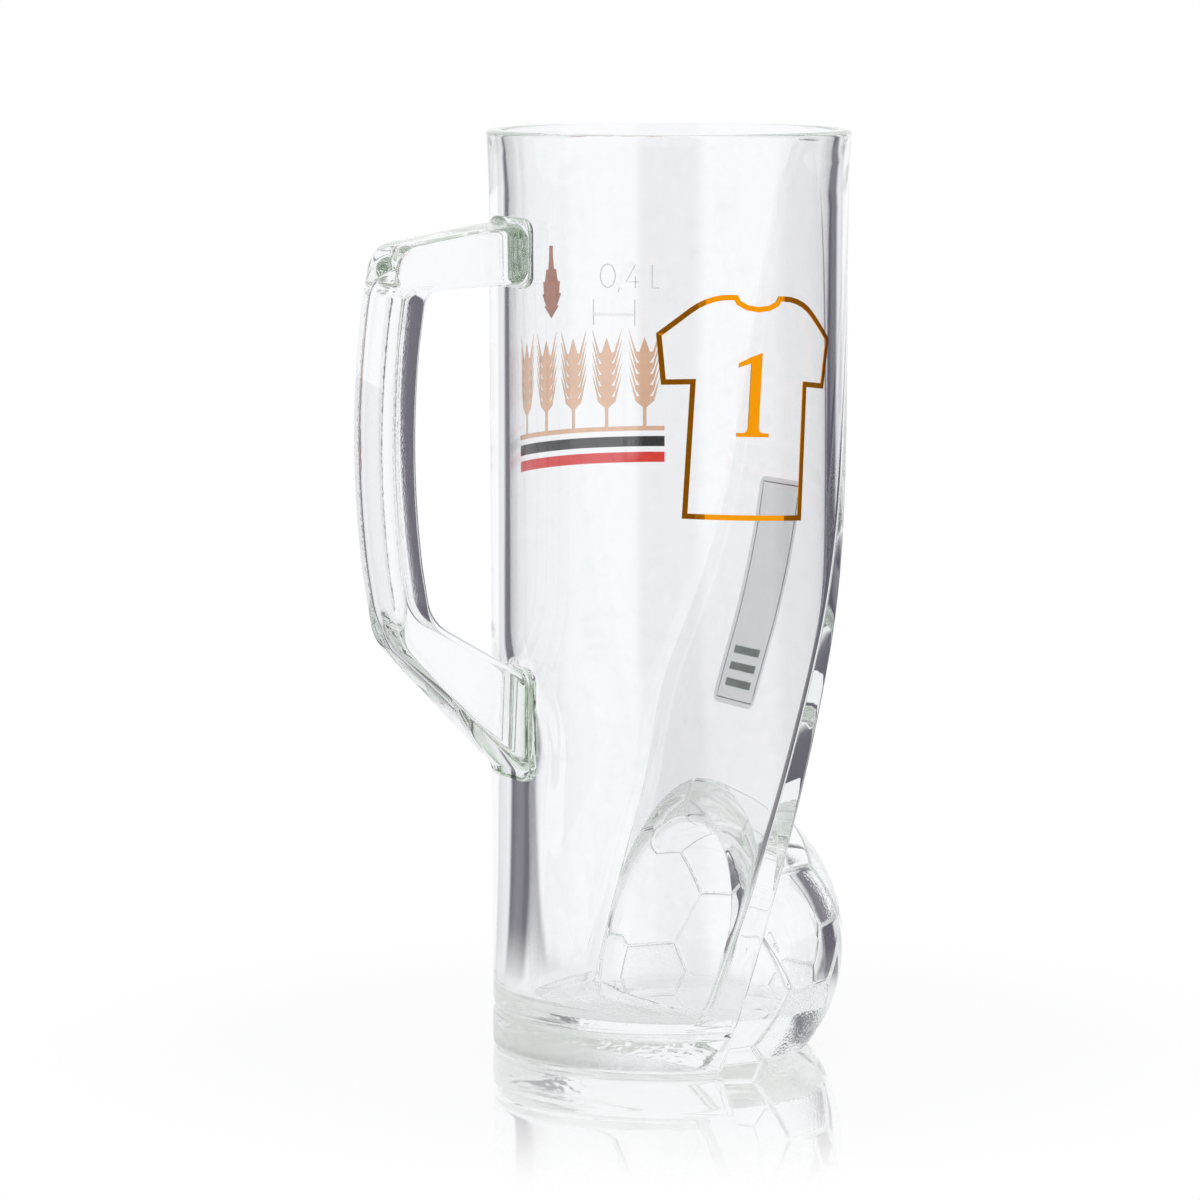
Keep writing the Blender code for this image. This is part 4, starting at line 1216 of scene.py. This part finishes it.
studio_sweep = sweep_group()
world = bpy.data.worlds.new("studio")
scene.world = world
world.use_nodes = True
tree = world.node_tree
place = add_node(tree, "TexCoord")
sweep = add_node(tree, "Group", node_tree=studio_sweep)
feed(tree, sweep, Direction=place.outputs["Generated"])
height = add_node(tree, "SeparateXYZ")
feed(tree, height, Vector=place.outputs["Generated"])
over = add_node(tree, "MapRange", interpolation_type="SMOOTHSTEP")
feed(tree, over, Value=height.outputs["Z"], From_Min=ROOF_START, From_Max=ROOF_FULL)
beside = add_node(tree, "Math", operation="COMPARE")
feed(tree, beside, _0=sweep.outputs["Angle"], _1=SIDE_SHEET_MIDDLE, _2=SIDE_SHEET_HALF)
sheet = add_node(tree, "Math", operation="MAXIMUM")
feed(tree, sheet, _0=over.outputs["Result"], _1=beside.outputs["Value"])
roof = add_node(tree, "Mix", data_type="RGBA")
feed(tree, roof, Factor=sheet.outputs["Value"], _6=sweep.outputs["Light"], _7=WHITE_LIGHT)
path = add_node(tree, "LightPath")
glossy = add_node(tree, "Math", operation="SUBTRACT")
feed(tree, glossy, _0=path.outputs["Is Glossy Ray"], _1=path.outputs["Is Transmission Ray"])
plain = add_node(tree, "Math", operation="MAXIMUM")
feed(tree, plain, _0=path.outputs["Is Camera Ray"], _1=glossy.outputs["Value"])
seen = add_node(tree, "Mix", data_type="RGBA")
feed(tree, seen, Factor=plain.outputs["Value"], _6=roof.outputs[2], _7=PURE_WHITE)
feed(tree, tree.nodes["Background"], Color=seen.outputs[2], Strength=1.0)

shape = bmesh.new()
bmesh.ops.create_circle(shape, cap_ends=True, segments=FLOOR_SIDES, radius=FLOOR_REACH)
bmesh.ops.translate(shape, verts=shape.verts, vec=(0.0, 0.0, -FLOOR_DROP))
floor_white = bpy.data.materials.new("white floor")
floor_white.use_nodes = True
tree = floor_white.node_tree
matt = tree.nodes["Principled BSDF"]
feed(tree, matt, Base_Color=FLOOR_COLOUR, Roughness=FLOOR_ROUGHNESS)
place = add_node(tree, "NewGeometry")
away = add_node(tree, "VectorMath", operation="LENGTH")
feed(tree, away, _0=place.outputs["Position"])
sweep = add_node(tree, "Group", node_tree=studio_sweep)
path = add_node(tree, "LightPath")
feed(tree, sweep, Direction=place.outputs["Position"])
close = add_node(tree, "MapRange", interpolation_type="SMOOTHSTEP")
feed(tree, close, Value=away.outputs["Value"], From_Min=CLOSE_FAR, From_Max=CLOSE_NEAR)
# For rays other than the camera's, the table glows with the studio's light by direction, dark gaps
# and dim room too: painted light. Near the foot it glows evenly pale.
floor_glow = add_node(tree, "Mix", data_type="RGBA")
feed(tree, floor_glow, Factor=close.outputs["Result"], _6=sweep.outputs["Light"], _7=TABLE_LIGHT)
through = add_node(tree, "Mix", data_type="RGBA")
feed(tree, through, Factor=path.outputs["Is Camera Ray"], _6=floor_glow.outputs[2], _7=PURE_WHITE)
bright = add_node(tree, "Emission")
feed(tree, bright, Color=through.outputs[2], Strength=1.0)
fade = add_node(tree, "MapRange", interpolation_type="SMOOTHSTEP")
feed(tree, fade, Value=away.outputs["Value"])
feed(tree, fade, From_Min=MIRROR_FAR, From_Max=MIRROR_NEAR)
shade_share = add_node(tree, "Math", operation="MULTIPLY")
feed(tree, shade_share, _0=fade.outputs["Result"], _1=SHADOW_SHARE)
shaded = add_node(tree, "MixShader")
feed(tree, shaded, _0=shade_share.outputs["Value"])
feed(tree, shaded, _1=bright.outputs["Emission"], _2=matt.outputs["BSDF"])
mirror = add_node(tree, "BsdfGlossy")
feed(tree, mirror, Color=PURE_WHITE, Roughness=MIRROR_ROUGHNESS)
mirror_share = add_node(tree, "Math", operation="MULTIPLY")
feed(tree, mirror_share, _0=fade.outputs["Result"], _1=MIRROR_SHARE)
seen_share = add_node(tree, "Math", operation="MULTIPLY")
feed(tree, seen_share, _0=mirror_share.outputs["Value"], _1=path.outputs["Is Camera Ray"])
mirrored = add_node(tree, "MixShader")
feed(tree, mirrored, _0=seen_share.outputs["Value"])
feed(tree, mirrored, _1=shaded.outputs["Shader"], _2=mirror.outputs["BSDF"])
feed(tree, tree.nodes["Material Output"], Surface=mirrored.outputs["Shader"])
ground = make_piece("floor", shape, floor_white)

camera = bpy.data.objects.new("camera", bpy.data.cameras.new("camera"))
scene.collection.objects.link(camera)
camera.data.lens = CAMERA_LENS
camera.data.sensor_width = CAMERA_SENSOR
camera.location = up * CAMERA_HEIGHT - ahead * CAMERA_FAR - aside * CAMERA_ASIDE
camera.rotation_euler = (math.pi / 2.0 - CAMERA_TILT, 0.0, CAMERA_TURN)
scene.camera = camera
scene.view_settings.view_transform = "Standard"
scene.cycles.max_bounces = LIGHT_BOUNCES
scene.cycles.transmission_bounces = LIGHT_BOUNCES
scene.cycles.glossy_bounces = LIGHT_BOUNCES
scene.cycles.transparent_max_bounces = LIGHT_BOUNCES
